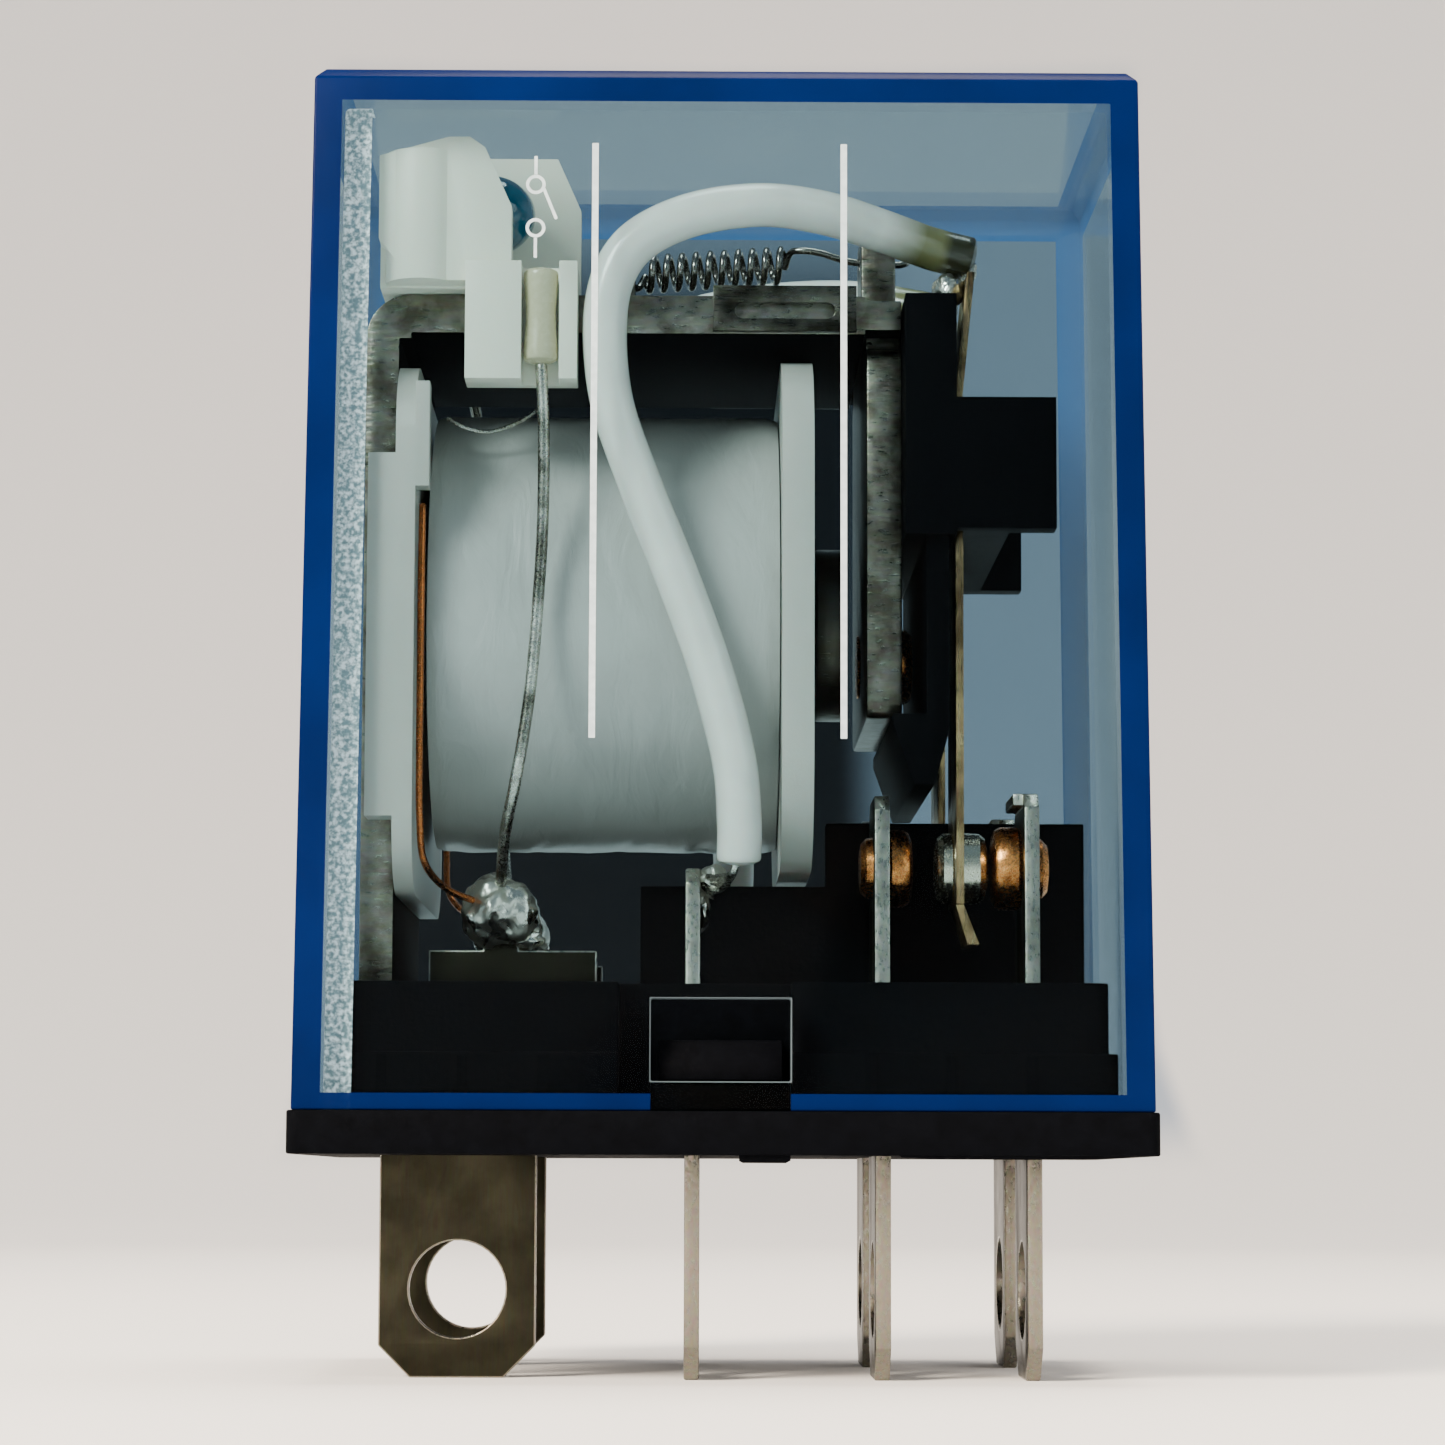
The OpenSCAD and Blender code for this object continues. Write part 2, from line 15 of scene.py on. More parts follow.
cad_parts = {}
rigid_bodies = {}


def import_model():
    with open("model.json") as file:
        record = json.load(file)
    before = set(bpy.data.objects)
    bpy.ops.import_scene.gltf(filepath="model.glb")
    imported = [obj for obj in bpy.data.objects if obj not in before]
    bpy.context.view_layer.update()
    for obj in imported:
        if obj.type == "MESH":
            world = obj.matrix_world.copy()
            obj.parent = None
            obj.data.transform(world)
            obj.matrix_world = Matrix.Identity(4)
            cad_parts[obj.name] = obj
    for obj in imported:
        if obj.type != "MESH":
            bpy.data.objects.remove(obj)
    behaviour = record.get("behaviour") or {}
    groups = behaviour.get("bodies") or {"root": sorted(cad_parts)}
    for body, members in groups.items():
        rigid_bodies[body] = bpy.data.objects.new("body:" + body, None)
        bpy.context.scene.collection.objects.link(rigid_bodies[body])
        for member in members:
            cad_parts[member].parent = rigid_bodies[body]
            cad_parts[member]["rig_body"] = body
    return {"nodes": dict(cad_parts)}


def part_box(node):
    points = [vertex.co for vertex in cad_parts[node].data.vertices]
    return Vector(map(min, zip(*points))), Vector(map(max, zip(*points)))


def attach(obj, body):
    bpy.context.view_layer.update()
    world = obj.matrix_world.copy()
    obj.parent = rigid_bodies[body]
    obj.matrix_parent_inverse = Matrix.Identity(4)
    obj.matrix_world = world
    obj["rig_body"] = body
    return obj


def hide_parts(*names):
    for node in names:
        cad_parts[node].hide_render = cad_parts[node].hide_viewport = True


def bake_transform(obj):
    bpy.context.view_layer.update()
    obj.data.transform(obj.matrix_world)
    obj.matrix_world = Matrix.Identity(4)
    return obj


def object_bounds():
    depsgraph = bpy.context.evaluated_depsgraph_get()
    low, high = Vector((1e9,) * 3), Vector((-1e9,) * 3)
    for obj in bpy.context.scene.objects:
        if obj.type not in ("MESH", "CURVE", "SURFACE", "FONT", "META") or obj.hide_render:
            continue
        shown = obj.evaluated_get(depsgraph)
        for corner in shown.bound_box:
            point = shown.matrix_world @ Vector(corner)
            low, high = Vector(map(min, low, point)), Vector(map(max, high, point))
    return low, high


bl_info = {
    "name": "Plug-in Relay",
    "version": (1, 0, 0),
    "blender": (4, 5, 0),
    "location": "View3D > Sidebar > Relay",
    "description": "Builds the shapes and finishes of a plug-in changeover relay",
    "category": "Add Mesh",
}

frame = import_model()
CAD_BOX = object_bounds()

MM = 0.001
ENDS = ("front", "rear")
COVER_LOW, COVER_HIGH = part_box("cover")
COIL_LOW, COIL_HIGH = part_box("coil_tape")
AXIS_Z = (COIL_LOW.z + COIL_HIGH.z) / 2
COIL_R = (COIL_HIGH.z - COIL_LOW.z) / 2
# The clear cover: its wall and roof, the lean of each wall for every metre of height, the middle of
# its catch windows along X, and the width of the frosted strip beside its front left corner.
COVER_WALL = 0.95 * MM
COVER_ROOF = 1.13 * MM
COVER_DRAFT = 0.3 * MM / (COVER_HIGH.z - COVER_LOW.z)
CATCH_X = -0.1 * MM
FROST_WIDTH = 0.9 * MM
# An edge that turns by more than this stays sharp in the shading.
SHARP_TURN = math.radians(32)

# Routes of the wires on the front side, in millimetres, as listed points.
LEAD_ROUTE = (
    (8.3, -5, 30.45), (7, -5.1, 30.75), (5.2, -5.9, 31.2), (3.2, -7.2, 31.5), (1, -8.2, 31.5),
    (-1.4, -8.5, 31), (-3.2, -8.55, 29.9), (-3.95, -8.55, 28), (-3.8, -8.6, 25), (-2.8, -8.6, 22),
    (-1.6, -8.6, 19), (-0.5, -8.6, 16), (0.3, -8.6, 13), (0.5, -8.4, 11), (0.5, -8.2, 9.7),
)
COIL_LEAD_ROUTE = (
    (-10, -7.9, 21.4), (-10, -8.15, 19), (-10, -8.2, 16), (-10, -8.2, 13),
    (-9.98, -8, 11), (-9.85, -7.4, 9.6), (-9.2, -6.4, 8.8), (-8.2, -5.6, 8.4),
)
RESISTOR_ROUTE = (
    (-6.1, -8.45, 26.1), (-6, -8.45, 24), (-6, -8.4, 21), (-6.15, -8.4, 18), (-6.4, -8.4, 15),
    (-6.8, -8.3, 12.4), (-7.2, -7.2, 10.6), (-7.4, -5.8, 9), (-7.5, -5.4, 8.4),
)
LED_ROUTE = (
    (-10.3, -3.7, 31.2), (-10.3, -1.5, 31.3), (-10.3, 1.5, 31), (-10.2, 4.5, 30.6), (-9.6, 7.4, 29.6),
    (-9, 8.4, 27), (-8.6, 8.6, 23), (-8.3, 8.6, 18), (-8, 8.5, 13), (-7.8, 7.4, 10.4), (-7.5, 5.5, 8.6),
)
# A loose end of the winding that crosses the top of the tape to the left flange.
STRAND_ROUTE = (
    (-9.3, -6.3, 24.6), (-8.7, -6.2, 24.3), (-7.9, -6, 24.2), (-6.9, -5.7, 24.6), (-6.2, -5.2, 25.2)
)


# ---- settings that a user would change ----


def linear(code):
    """Linear red, green and blue of an sRGB hex colour."""
    parts = (int(code[i : i + 2], 16) / 255 for i in (1, 3, 5))
    return tuple(c / 12.92 if c <= 0.04045 else ((c + 0.055) / 1.055) ** 2.4 for c in parts)


def length(name, description, default):
    return FloatProperty(name=name, description=description, default=default, unit="LENGTH", precision=5)


def colour(name, description, code):
    return FloatVectorProperty(
        name=name, description=description, default=linear(code), subtype="COLOR", size=3, min=0, max=1
    )


class RelaySizes(PropertyGroup):
    edge: length("Moulded edge", "Radius on the edges of moulded parts", 0.16 * MM)
    cover_edge: length("Cover edge", "Radius on the edges of the clear cover", 0.14 * MM)
    sheared_edge: length("Sheared edge", "Radius on the edges of stamped blades", 0.07 * MM)
    rule: length("Printed rule", "Width of the white rules printed on the cover", 0.21 * MM)
    lead: length("Lead diameter", "Outer diameter of the white insulated leads", 1.48 * MM)
    bare: length("Bare wire", "Diameter of the tinned component wires", 0.4 * MM)
    fine: length("Coil wire", "Diameter of the enamelled wire that leaves the coil", 0.24 * MM)
    spring_wire: length("Spring wire", "Diameter of the return spring's wire", 0.25 * MM)
    spring_coil: length("Spring coil", "Radius of the return spring at the middle of its wire", 0.58 * MM)
    spring_turns: IntProperty(
        name="Spring turns", description="Turns of the return spring", default=10, min=4
    )
    winding_pitch: length("Winding pitch", "Distance between turns of the coil, coarser than real", 0.2 * MM)


class RelayColours(PropertyGroup):
    cover_tint: colour("Cover tint", "What a wall of the cover lets through", "#b6c8d0")
    # painted light: the deep blue of a wall seen edge-on, painted on the cover's corners and foot
    cover_edge: colour("Cover edge", "The cover's colour where a wall is seen edge-on", "#00103c")
    base: colour("Base", "Black moulded base and contact card", "#040508")
    nylon: colour("Nylon", "White nylon of the bobbin", "#bdbbb3")
    cream: colour("Cream nylon", "Nylon of the indicator's holder", "#efecdc")
    tape: colour("Tape", "White film tape round the coil", "#c0bfbb")
    # painted reflection: the flats are painted near black for the dark surroundings they reflect
    tin: colour("Tin", "Tarnished tin on the flat of the blades", "#28271f")
    steel: colour("Steel", "Plated steel of the magnet", "#4c4a44")
    copper: colour("Copper", "Copper rivets and contact heads", "#f29a58")
    insulation: colour("Insulation", "White insulation of the leads", "#f0eee6")
    lamp: colour("Lamp", "Tinted resin of the indicator lamp", "#0c4a62")


# ---- nodes and materials ----

# The place of the colour among the outputs of a Mix node.
MIXED_COLOUR = 2


def add(tree, kind, inputs=None, **settings):
    """Adds a node with its settings, and feeds its inputs with values, sockets or other nodes. A node
    stands for its first output, or for its colour if it mixes colours."""
    made = tree.nodes.new(kind)
    for key, value in settings.items():
        setattr(made, key, value)
    for key, value in (inputs or {}).items():
        if isinstance(value, bpy.types.Node):
            value = value.outputs[MIXED_COLOUR if value.bl_idname == "ShaderNodeMix" else 0]
        if isinstance(value, bpy.types.NodeSocket):
            tree.links.new(value, made.inputs[key])
        else:
            made.inputs[key].default_value = value
    return made


def new_material(name):
    """A material with an empty tree: the material, its tree and its Object coordinates."""
    made = bpy.data.materials.new(name)
    made.use_nodes = True
    tree = made.node_tree
    tree.nodes.clear()
    coords = add(tree, "ShaderNodeTexCoord").outputs["Object"]
    return made, tree, coords


def rgba(c):
    return (c[0], c[1], c[2], 1.0)


def shaded(c, k):
    """The colour made k times as bright."""
    return (min(1, c[0] * k), min(1, c[1] * k), min(1, c[2] * k), 1.0)


def moulded(name, c, grain, rough, spread=0.12, specular=0.5, depth=0.012, scatter=0.0, patch=2.2 * MM):
    """Moulded plastic: even colour with a faint mottle, a fine matt skin and shallow flow lines."""
    made, tree, coords = new_material(name)
    mottle = add(tree, "ShaderNodeTexNoise", {"Vector": coords, "Scale": 1 / patch, "Detail": 4.0})
    fine = add(tree, "ShaderNodeTexNoise", {"Vector": coords, "Scale": 1 / grain, "Detail": 3.0})
    tone = add(tree, "ShaderNodeMix", {
        0: mottle, 6: shaded(c, 1 - spread), 7: shaded(c, 1 + spread),
    }, data_type="RGBA")
    gloss = add(tree, "ShaderNodeMapRange", {
        "Value": fine, "From Min": 0.3, "From Max": 0.7, "To Min": rough - 0.08, "To Max": rough + 0.1,
    })
    bump = add(tree, "ShaderNodeBump", {"Height": fine, "Strength": 0.5, "Distance": depth * MM})
    bsdf = add(tree, "ShaderNodeBsdfPrincipled", {
        "Base Color": tone, "Roughness": gloss, "Normal": bump, "Specular IOR Level": specular,
        "Subsurface Weight": scatter, "Subsurface Scale": 0.6 * MM,
    })
    add(tree, "ShaderNodeOutputMaterial", {"Surface": bsdf})
    return made


def metal(
    name, c, rough, grain, stretch=(1, 1, 1), spread=0.25, stain=None, depth=0.004, patch=1.6 * MM,
    below_base_painted_tone=None,
):
    """Bare metal: drawn or rolled lines along the grain, with patches of tarnish between dull and bright.
    The colour given for below the base takes over there; the edges inside the cover are painted
    brighter than those below it, as painted light."""
    made, tree, coords = new_material(name)
    lines = add(tree, "ShaderNodeMapping", {"Vector": coords, "Scale": stretch})
    grainy = add(tree, "ShaderNodeTexNoise", {"Vector": lines, "Scale": 1 / grain, "Detail": 4.0})
    cloud = add(tree, "ShaderNodeTexNoise", {
        "Vector": coords, "Scale": 1 / patch, "Detail": 5.0, "Roughness": 0.6,
    })
    patches = add(tree, "ShaderNodeMapRange", {"Value": cloud, "From Min": 0.38, "From Max": 0.62})
    tone = add(tree, "ShaderNodeMix", {
        0: patches, 6: rgba(stain or shaded(c, 1 - spread)), 7: shaded(c, 1 + spread),
    }, data_type="RGBA")
    # painted light: below the base the edge takes the darker colour given for it
    if below_base_painted_tone:
        split = add(tree, "ShaderNodeSeparateXYZ", {0: coords})
        above_base_painted_mask = add(tree, "ShaderNodeMapRange", {
            "Value": split.outputs["Z"], "From Min": -0.5 * MM, "From Max": 0.5 * MM,
        })
        tone = add(tree, "ShaderNodeMix", {0: above_base_painted_mask, 6: rgba(below_base_painted_tone), 7: tone}, data_type="RGBA")
    lined = add(tree, "ShaderNodeMix", {
        0: 0.35, 6: tone, 7: grainy.outputs["Color"],
    }, data_type="RGBA", blend_type="SOFT_LIGHT")
    gloss = add(tree, "ShaderNodeMapRange", {
        "Value": grainy, "From Min": 0.3, "From Max": 0.7, "To Min": rough - 0.08, "To Max": rough + 0.12,
    })
    bump = add(tree, "ShaderNodeBump", {"Height": grainy, "Strength": 0.6, "Distance": depth * MM})
    bsdf = add(tree, "ShaderNodeBsdfPrincipled", {
        "Base Color": lined, "Metallic": 1.0, "Roughness": gloss, "Normal": bump,
    })
    add(tree, "ShaderNodeOutputMaterial", {"Surface": bsdf})
    return made


def clear_polycarbonate(colours):
    """Clear blue polycarbonate, moulded and polished. A wall lets the eye through with a light blue tint
    and a gloss at its face; where two walls meet and along the foot, the deep blue that the eye sees
    looking along a wall is painted on as a fixed colour, with a painted glow."""
    made, tree, coords = new_material("clear_blue_polycarbonate")
    split = add(tree, "ShaderNodeSeparateXYZ", {0: coords})
    tests = []
    for axis, half in (("X", COVER_HIGH.x), ("Y", COVER_HIGH.y)):
        out = add(tree, "ShaderNodeMath", {0: split.outputs[axis]}, operation="ABSOLUTE")
        level = add(tree, "ShaderNodeMath", {
            0: split.outputs["Z"], 1: COVER_DRAFT, 2: out,
        }, operation="MULTIPLY_ADD")
        tests.append(
            add(tree, "ShaderNodeMath", {
                0: level, 1: half - COVER_WALL + COVER_DRAFT * COVER_LOW.z + 0.02 * MM,
            }, operation="GREATER_THAN")
        )
    tests.append(
        add(tree, "ShaderNodeMath", {
            0: split.outputs["Z"], 1: COVER_HIGH.z - COVER_ROOF,
        }, operation="GREATER_THAN")
    )
    foot = add(tree, "ShaderNodeMath", {
        0: split.outputs["Z"], 1: COVER_LOW.z + 0.55 * MM,
    }, operation="LESS_THAN")
    # the painted blue foot line stops at each catch window, where the wall is thinned
    beside = add(
        tree, "ShaderNodeMath", {0: split.outputs["X"], 1: CATCH_X, 2: 2.25 * MM}, operation="COMPARE"
    )
    clear = add(tree, "ShaderNodeMath", {0: tests[1], 1: beside}, operation="MULTIPLY")
    foot = add(tree, "ShaderNodeMath", {0: foot, 1: clear}, operation="SUBTRACT")
    pair = add(tree, "ShaderNodeMath", {0: tests[0], 1: tests[1]}, operation="ADD")
    count = add(tree, "ShaderNodeMath", {0: pair, 1: tests[2]}, operation="ADD")
    corner = add(tree, "ShaderNodeMath", {0: count, 1: 1.5}, operation="GREATER_THAN")
    rim = add(tree, "ShaderNodeMath", {0: corner, 1: foot}, operation="MAXIMUM")
    # painted glow inside the edge: cloudy bands some millimetres long, for light led along the wall
    bands = add(tree, "ShaderNodeTexNoise", {"Vector": coords, "Scale": 1 / (5 * MM), "Detail": 3.0})
    glow = add(tree, "ShaderNodeMix", {
        0: bands, 6: shaded(colours.cover_edge, 0.6), 7: shaded(colours.cover_edge, 1.7),
    }, data_type="RGBA")
    through = add(tree, "ShaderNodeBsdfTransparent", {"Color": rgba(colours.cover_tint)})
    facing = add(tree, "ShaderNodeLayerWeight", {"Blend": 0.5})
    curve = add(tree, "ShaderNodeMath", {0: facing.outputs["Facing"], 1: 4.5}, operation="POWER")
    mirror = add(tree, "ShaderNodeMath", {0: curve, 1: 0.5, 2: 0.0015}, operation="MULTIPLY_ADD")
    gloss = add(tree, "ShaderNodeBsdfGlossy", {"Color": (1, 1, 1, 1), "Roughness": 0.06})
    hazed = add(tree, "ShaderNodeMixShader", {0: mirror, 1: through, 2: gloss})
    # painted light: deepest along the front, a lighter blue on the edges that run back and along the rear
    depth = add(tree, "ShaderNodeMapRange", {
        "Value": split.outputs["Y"], "From Min": COVER_LOW.y + 1.1 * MM, "From Max": COVER_LOW.y + 2.4 * MM,
    })
    painted_edge_colour = add(tree, "ShaderNodeMix", {0: depth, 6: glow, 7: rgba(linear("#3a74b4"))}, data_type="RGBA")
    edge = add(tree, "ShaderNodeBsdfPrincipled", {
        "Base Color": painted_edge_colour, "Roughness": 0.22, "Specular IOR Level": 0.02,
    })
    solid = add(tree, "ShaderNodeMath", {0: depth, 1: -0.25, 2: 0.985}, operation="MULTIPLY_ADD")
    share = add(tree, "ShaderNodeMath", {0: rim, 1: solid}, operation="MULTIPLY")
    surface = add(tree, "ShaderNodeMixShader", {0: share, 1: hazed, 2: edge})
    add(tree, "ShaderNodeOutputMaterial", {"Surface": surface})
    return made


def frost_with_painted_glow(tree, coords, colours):
    """A spark-eroded skin, pale and grainy with bright specks and a painted glow: the output of its shader.
    """
    specks = add(tree, "ShaderNodeTexVoronoi", {"Vector": coords, "Scale": 1 / (0.4 * MM)})
    grain = add(tree, "ShaderNodeTexNoise", {"Vector": coords, "Scale": 1 / (0.15 * MM), "Detail": 4.0})
    bright = add(tree, "ShaderNodeMapRange", {"Value": grain, "From Min": 0.42, "From Max": 0.64})
    tone = add(tree, "ShaderNodeMix", {
        0: bright, 6: rgba(linear("#8fa3a6")), 7: rgba(linear("#ffffff")),
    }, data_type="RGBA")
    bump = add(tree, "ShaderNodeBump", {"Height": specks, "Strength": 0.8, "Distance": 0.1 * MM})
    # painted glow: the frosted skin emits its own tone, for outside light scattered through the frost
    skin = add(tree, "ShaderNodeBsdfPrincipled", {
        "Base Color": tone, "Roughness": 0.3, "Normal": bump, "Emission Color": tone,
        "Emission Strength": 0.75,
    })
    through = add(tree, "ShaderNodeBsdfTransparent", {"Color": rgba(colours.cover_tint)})
    share = add(tree, "ShaderNodeMapRange", {
        "Value": grain, "From Min": 0.3, "From Max": 0.6, "To Min": 0.62, "To Max": 0.95,
    })
    mixed = add(tree, "ShaderNodeMixShader", {0: share, 1: through, 2: skin})
    return mixed.outputs[0]


def inner_polycarbonate(colours):
    """The inner face of a clear wall. It adds a faint gloss, since the tint is on the outer face, and it
    is frosted in a strip along the front left corner, where the mould was left rough. The strip has a
    painted glow."""
    made, tree, coords = new_material("clear_polycarbonate_inside")
    ripple = add(tree, "ShaderNodeTexNoise", {"Vector": coords, "Scale": 1 / (3 * MM), "Detail": 2.0})
    bump = add(tree, "ShaderNodeBump", {"Height": ripple, "Strength": 0.3, "Distance": 0.05 * MM})
    through = add(tree, "ShaderNodeBsdfTransparent", {"Color": (0.97, 0.985, 0.99, 1)})
    facing = add(tree, "ShaderNodeLayerWeight", {"Blend": 0.5})
    curve = add(tree, "ShaderNodeMath", {0: facing.outputs["Facing"], 1: 5.0}, operation="POWER")
    mirror = add(tree, "ShaderNodeMath", {0: curve, 1: 0.25, 2: 0.001}, operation="MULTIPLY_ADD")
    gloss = add(tree, "ShaderNodeBsdfGlossy", {"Color": (1, 1, 1, 1), "Roughness": 0.1, "Normal": bump})
    face = add(tree, "ShaderNodeMixShader", {0: mirror, 1: through, 2: gloss})
    split = add(tree, "ShaderNodeSeparateXYZ", {0: coords})
    # the strip follows the lean of the left wall
    depth = add(tree, "ShaderNodeMath", {
        0: split.outputs["Z"], 1: COVER_DRAFT, 2: COVER_LOW.x - COVER_DRAFT * COVER_LOW.z,
    }, operation="MULTIPLY_ADD")
    gap = add(tree, "ShaderNodeMath", {0: split.outputs["X"], 1: depth}, operation="SUBTRACT")
    strip = add(tree, "ShaderNodeMath", {0: gap, 1: COVER_WALL + FROST_WIDTH}, operation="LESS_THAN")
    front = add(tree, "ShaderNodeMath", {0: split.outputs["Y"], 1: -8 * MM}, operation="LESS_THAN")
    rough = add(tree, "ShaderNodeMath", {0: strip, 1: front}, operation="MULTIPLY")
    surface = add(tree, "ShaderNodeMixShader", {0: rough, 1: face, 2: frost_with_painted_glow(tree, coords, colours)})
    add(tree, "ShaderNodeOutputMaterial", {"Surface": surface})
    return made


def film_tape(colours):
    """White polyester film, wound by hand: satin, with long soft creases and dimmer and brighter patches."""
    made, tree, coords = new_material("polyester_film_tape")
    along = add(tree, "ShaderNodeMapping", {"Vector": coords, "Scale": (1.0, 0.35, 0.35)})
    crease = add(tree, "ShaderNodeTexNoise", {
        "Vector": along, "Scale": 1 / (1.1 * MM), "Detail": 4.0, "Distortion": 1.2,
    })
    lap = add(tree, "ShaderNodeTexNoise", {"Vector": coords, "Scale": 1 / (4.5 * MM), "Detail": 2.0})
    # dimmer and brighter patches some millimetres across
    tone = add(tree, "ShaderNodeMix", {
        0: lap, 6: shaded(colours.tape, 0.78), 7: shaded(colours.tape, 1.1),
    }, data_type="RGBA")
    bump = add(tree, "ShaderNodeBump", {"Height": crease, "Strength": 0.7, "Distance": 0.12 * MM})
    bsdf = add(tree, "ShaderNodeBsdfPrincipled", {
        "Base Color": tone, "Roughness": 0.34, "Normal": bump, "Coat Weight": 0.35, "Coat Roughness": 0.18,
    })
    add(tree, "ShaderNodeOutputMaterial", {"Surface": bsdf})
    return made


def soldered(name):
    """Tin-lead solder, frozen as it flowed: mirror-bright swells with dull, grainy hollows between."""
    made, tree, coords = new_material(name)
    swell = add(tree, "ShaderNodeTexNoise", {
        "Vector": coords, "Scale": 1 / (0.7 * MM), "Detail": 2.0, "Distortion": 0.6,
    })
    grain = add(tree, "ShaderNodeTexNoise", {"Vector": coords, "Scale": 1 / (0.12 * MM), "Detail": 2.0})
    gloss = add(tree, "ShaderNodeMapRange", {
        "Value": swell, "From Min": 0.35, "From Max": 0.6, "To Min": 0.16, "To Max": 0.4,
    })
    tone = add(tree, "ShaderNodeMix", {
        0: swell, 6: rgba(linear("#f0eee4")), 7: rgba(linear("#a8a49a")),
    }, data_type="RGBA")
    both = add(tree, "ShaderNodeMath", {0: grain, 1: 0.12, 2: swell}, operation="MULTIPLY_ADD")
    bump = add(tree, "ShaderNodeBump", {"Height": both, "Strength": 0.7, "Distance": 0.13 * MM})
    bsdf = add(tree, "ShaderNodeBsdfPrincipled", {
        "Base Color": tone, "Metallic": 1.0, "Roughness": gloss, "Normal": bump,
    })
    add(tree, "ShaderNodeOutputMaterial", {"Surface": bsdf})
    return made


def insulation(colours):
    """White PVC insulation: soft gloss with faint scuffs, olive and then near black towards its upper end.
    The attribute "along" runs from 0 at the soldered upper end to 1 at the lower end."""
    made, tree, coords = new_material("white_pvc_insulation")
    along = add(tree, "ShaderNodeAttribute", attribute_name="along")
    # olive and then near black towards the upper end of the lead
    olive_towards_top = add(tree, "ShaderNodeMapRange", {
        "Value": along.outputs["Fac"], "From Min": 0.09, "From Max": 0.15, "To Min": 1.0, "To Max": 0.0,
    })
    darkest_at_top = add(tree, "ShaderNodeMapRange", {
        "Value": along.outputs["Fac"], "From Min": 0.035, "From Max": 0.06, "To Min": 1.0, "To Max": 0.0,
    })
    scuff = add(tree, "ShaderNodeTexNoise", {"Vector": coords, "Scale": 1 / (0.9 * MM), "Detail": 3.0})
    tone = add(tree, "ShaderNodeMix", {
        0: scuff, 6: shaded(colours.insulation, 0.86), 7: shaded(colours.insulation, 1.06),
    }, data_type="RGBA")
    olive = add(tree, "ShaderNodeMix", {0: olive_towards_top, 6: tone, 7: rgba(linear("#75724c"))}, data_type="RGBA")
    stained = add(tree, "ShaderNodeMix", {0: darkest_at_top, 6: olive, 7: rgba(linear("#2c2b18"))}, data_type="RGBA")
    bump = add(tree, "ShaderNodeBump", {"Height": scuff, "Strength": 0.4, "Distance": 0.05 * MM})
    bsdf = add(tree, "ShaderNodeBsdfPrincipled", {
        "Base Color": stained, "Roughness": 0.26, "Normal": bump, "Coat Weight": 0.4, "Coat Roughness": 0.12,
        "Subsurface Weight": 0.15, "Subsurface Scale": 0.4 * MM,
    })
    add(tree, "ShaderNodeOutputMaterial", {"Surface": bsdf})
    return made


def lamp_resin(colours):
    """Tinted epoxy of the lamp: dark teal with a deep, wet gloss and a painted glow, lighter towards its
    dome.
    """
    made, tree, coords = new_material("tinted_epoxy")
    split = add(tree, "ShaderNodeSeparateXYZ", {0: coords})
    # painted glow: the resin is painted lighter towards the dome
    dome = add(tree, "ShaderNodeMapRange", {
        "Value": split.outputs["X"], "From Min": -10.8 * MM, "From Max": -6.4 * MM,
    })
    tone = add(tree, "ShaderNodeMix", {
        0: dome, 6: shaded(colours.lamp, 0.6), 7: shaded(colours.lamp, 1.3),
    }, data_type="RGBA")
    bsdf = add(tree, "ShaderNodeBsdfPrincipled", {
        "Base Color": tone, "Roughness": 0.08, "IOR": 1.53, "Coat Weight": 0.6, "Coat Roughness": 0.04,
    })
    add(tree, "ShaderNodeOutputMaterial", {"Surface": bsdf})
    return made


def print_ink():
    """White pad-printing ink: flat white, thin enough to show a faint unevenness."""
    made, tree, coords = new_material("white_print_ink")
    uneven = add(tree, "ShaderNodeTexNoise", {"Vector": coords, "Scale": 1 / (0.3 * MM), "Detail": 3.0})
    tone = add(tree, "ShaderNodeMix", {
        0: uneven, 6: rgba(linear("#93a8b4")), 7: rgba(linear("#cbdce6")),
    }, data_type="RGBA")
    bsdf = add(tree, "ShaderNodeBsdfPrincipled", {"Base Color": tone, "Roughness": 0.55})
    add(tree, "ShaderNodeOutputMaterial", {"Surface": bsdf})
    return made


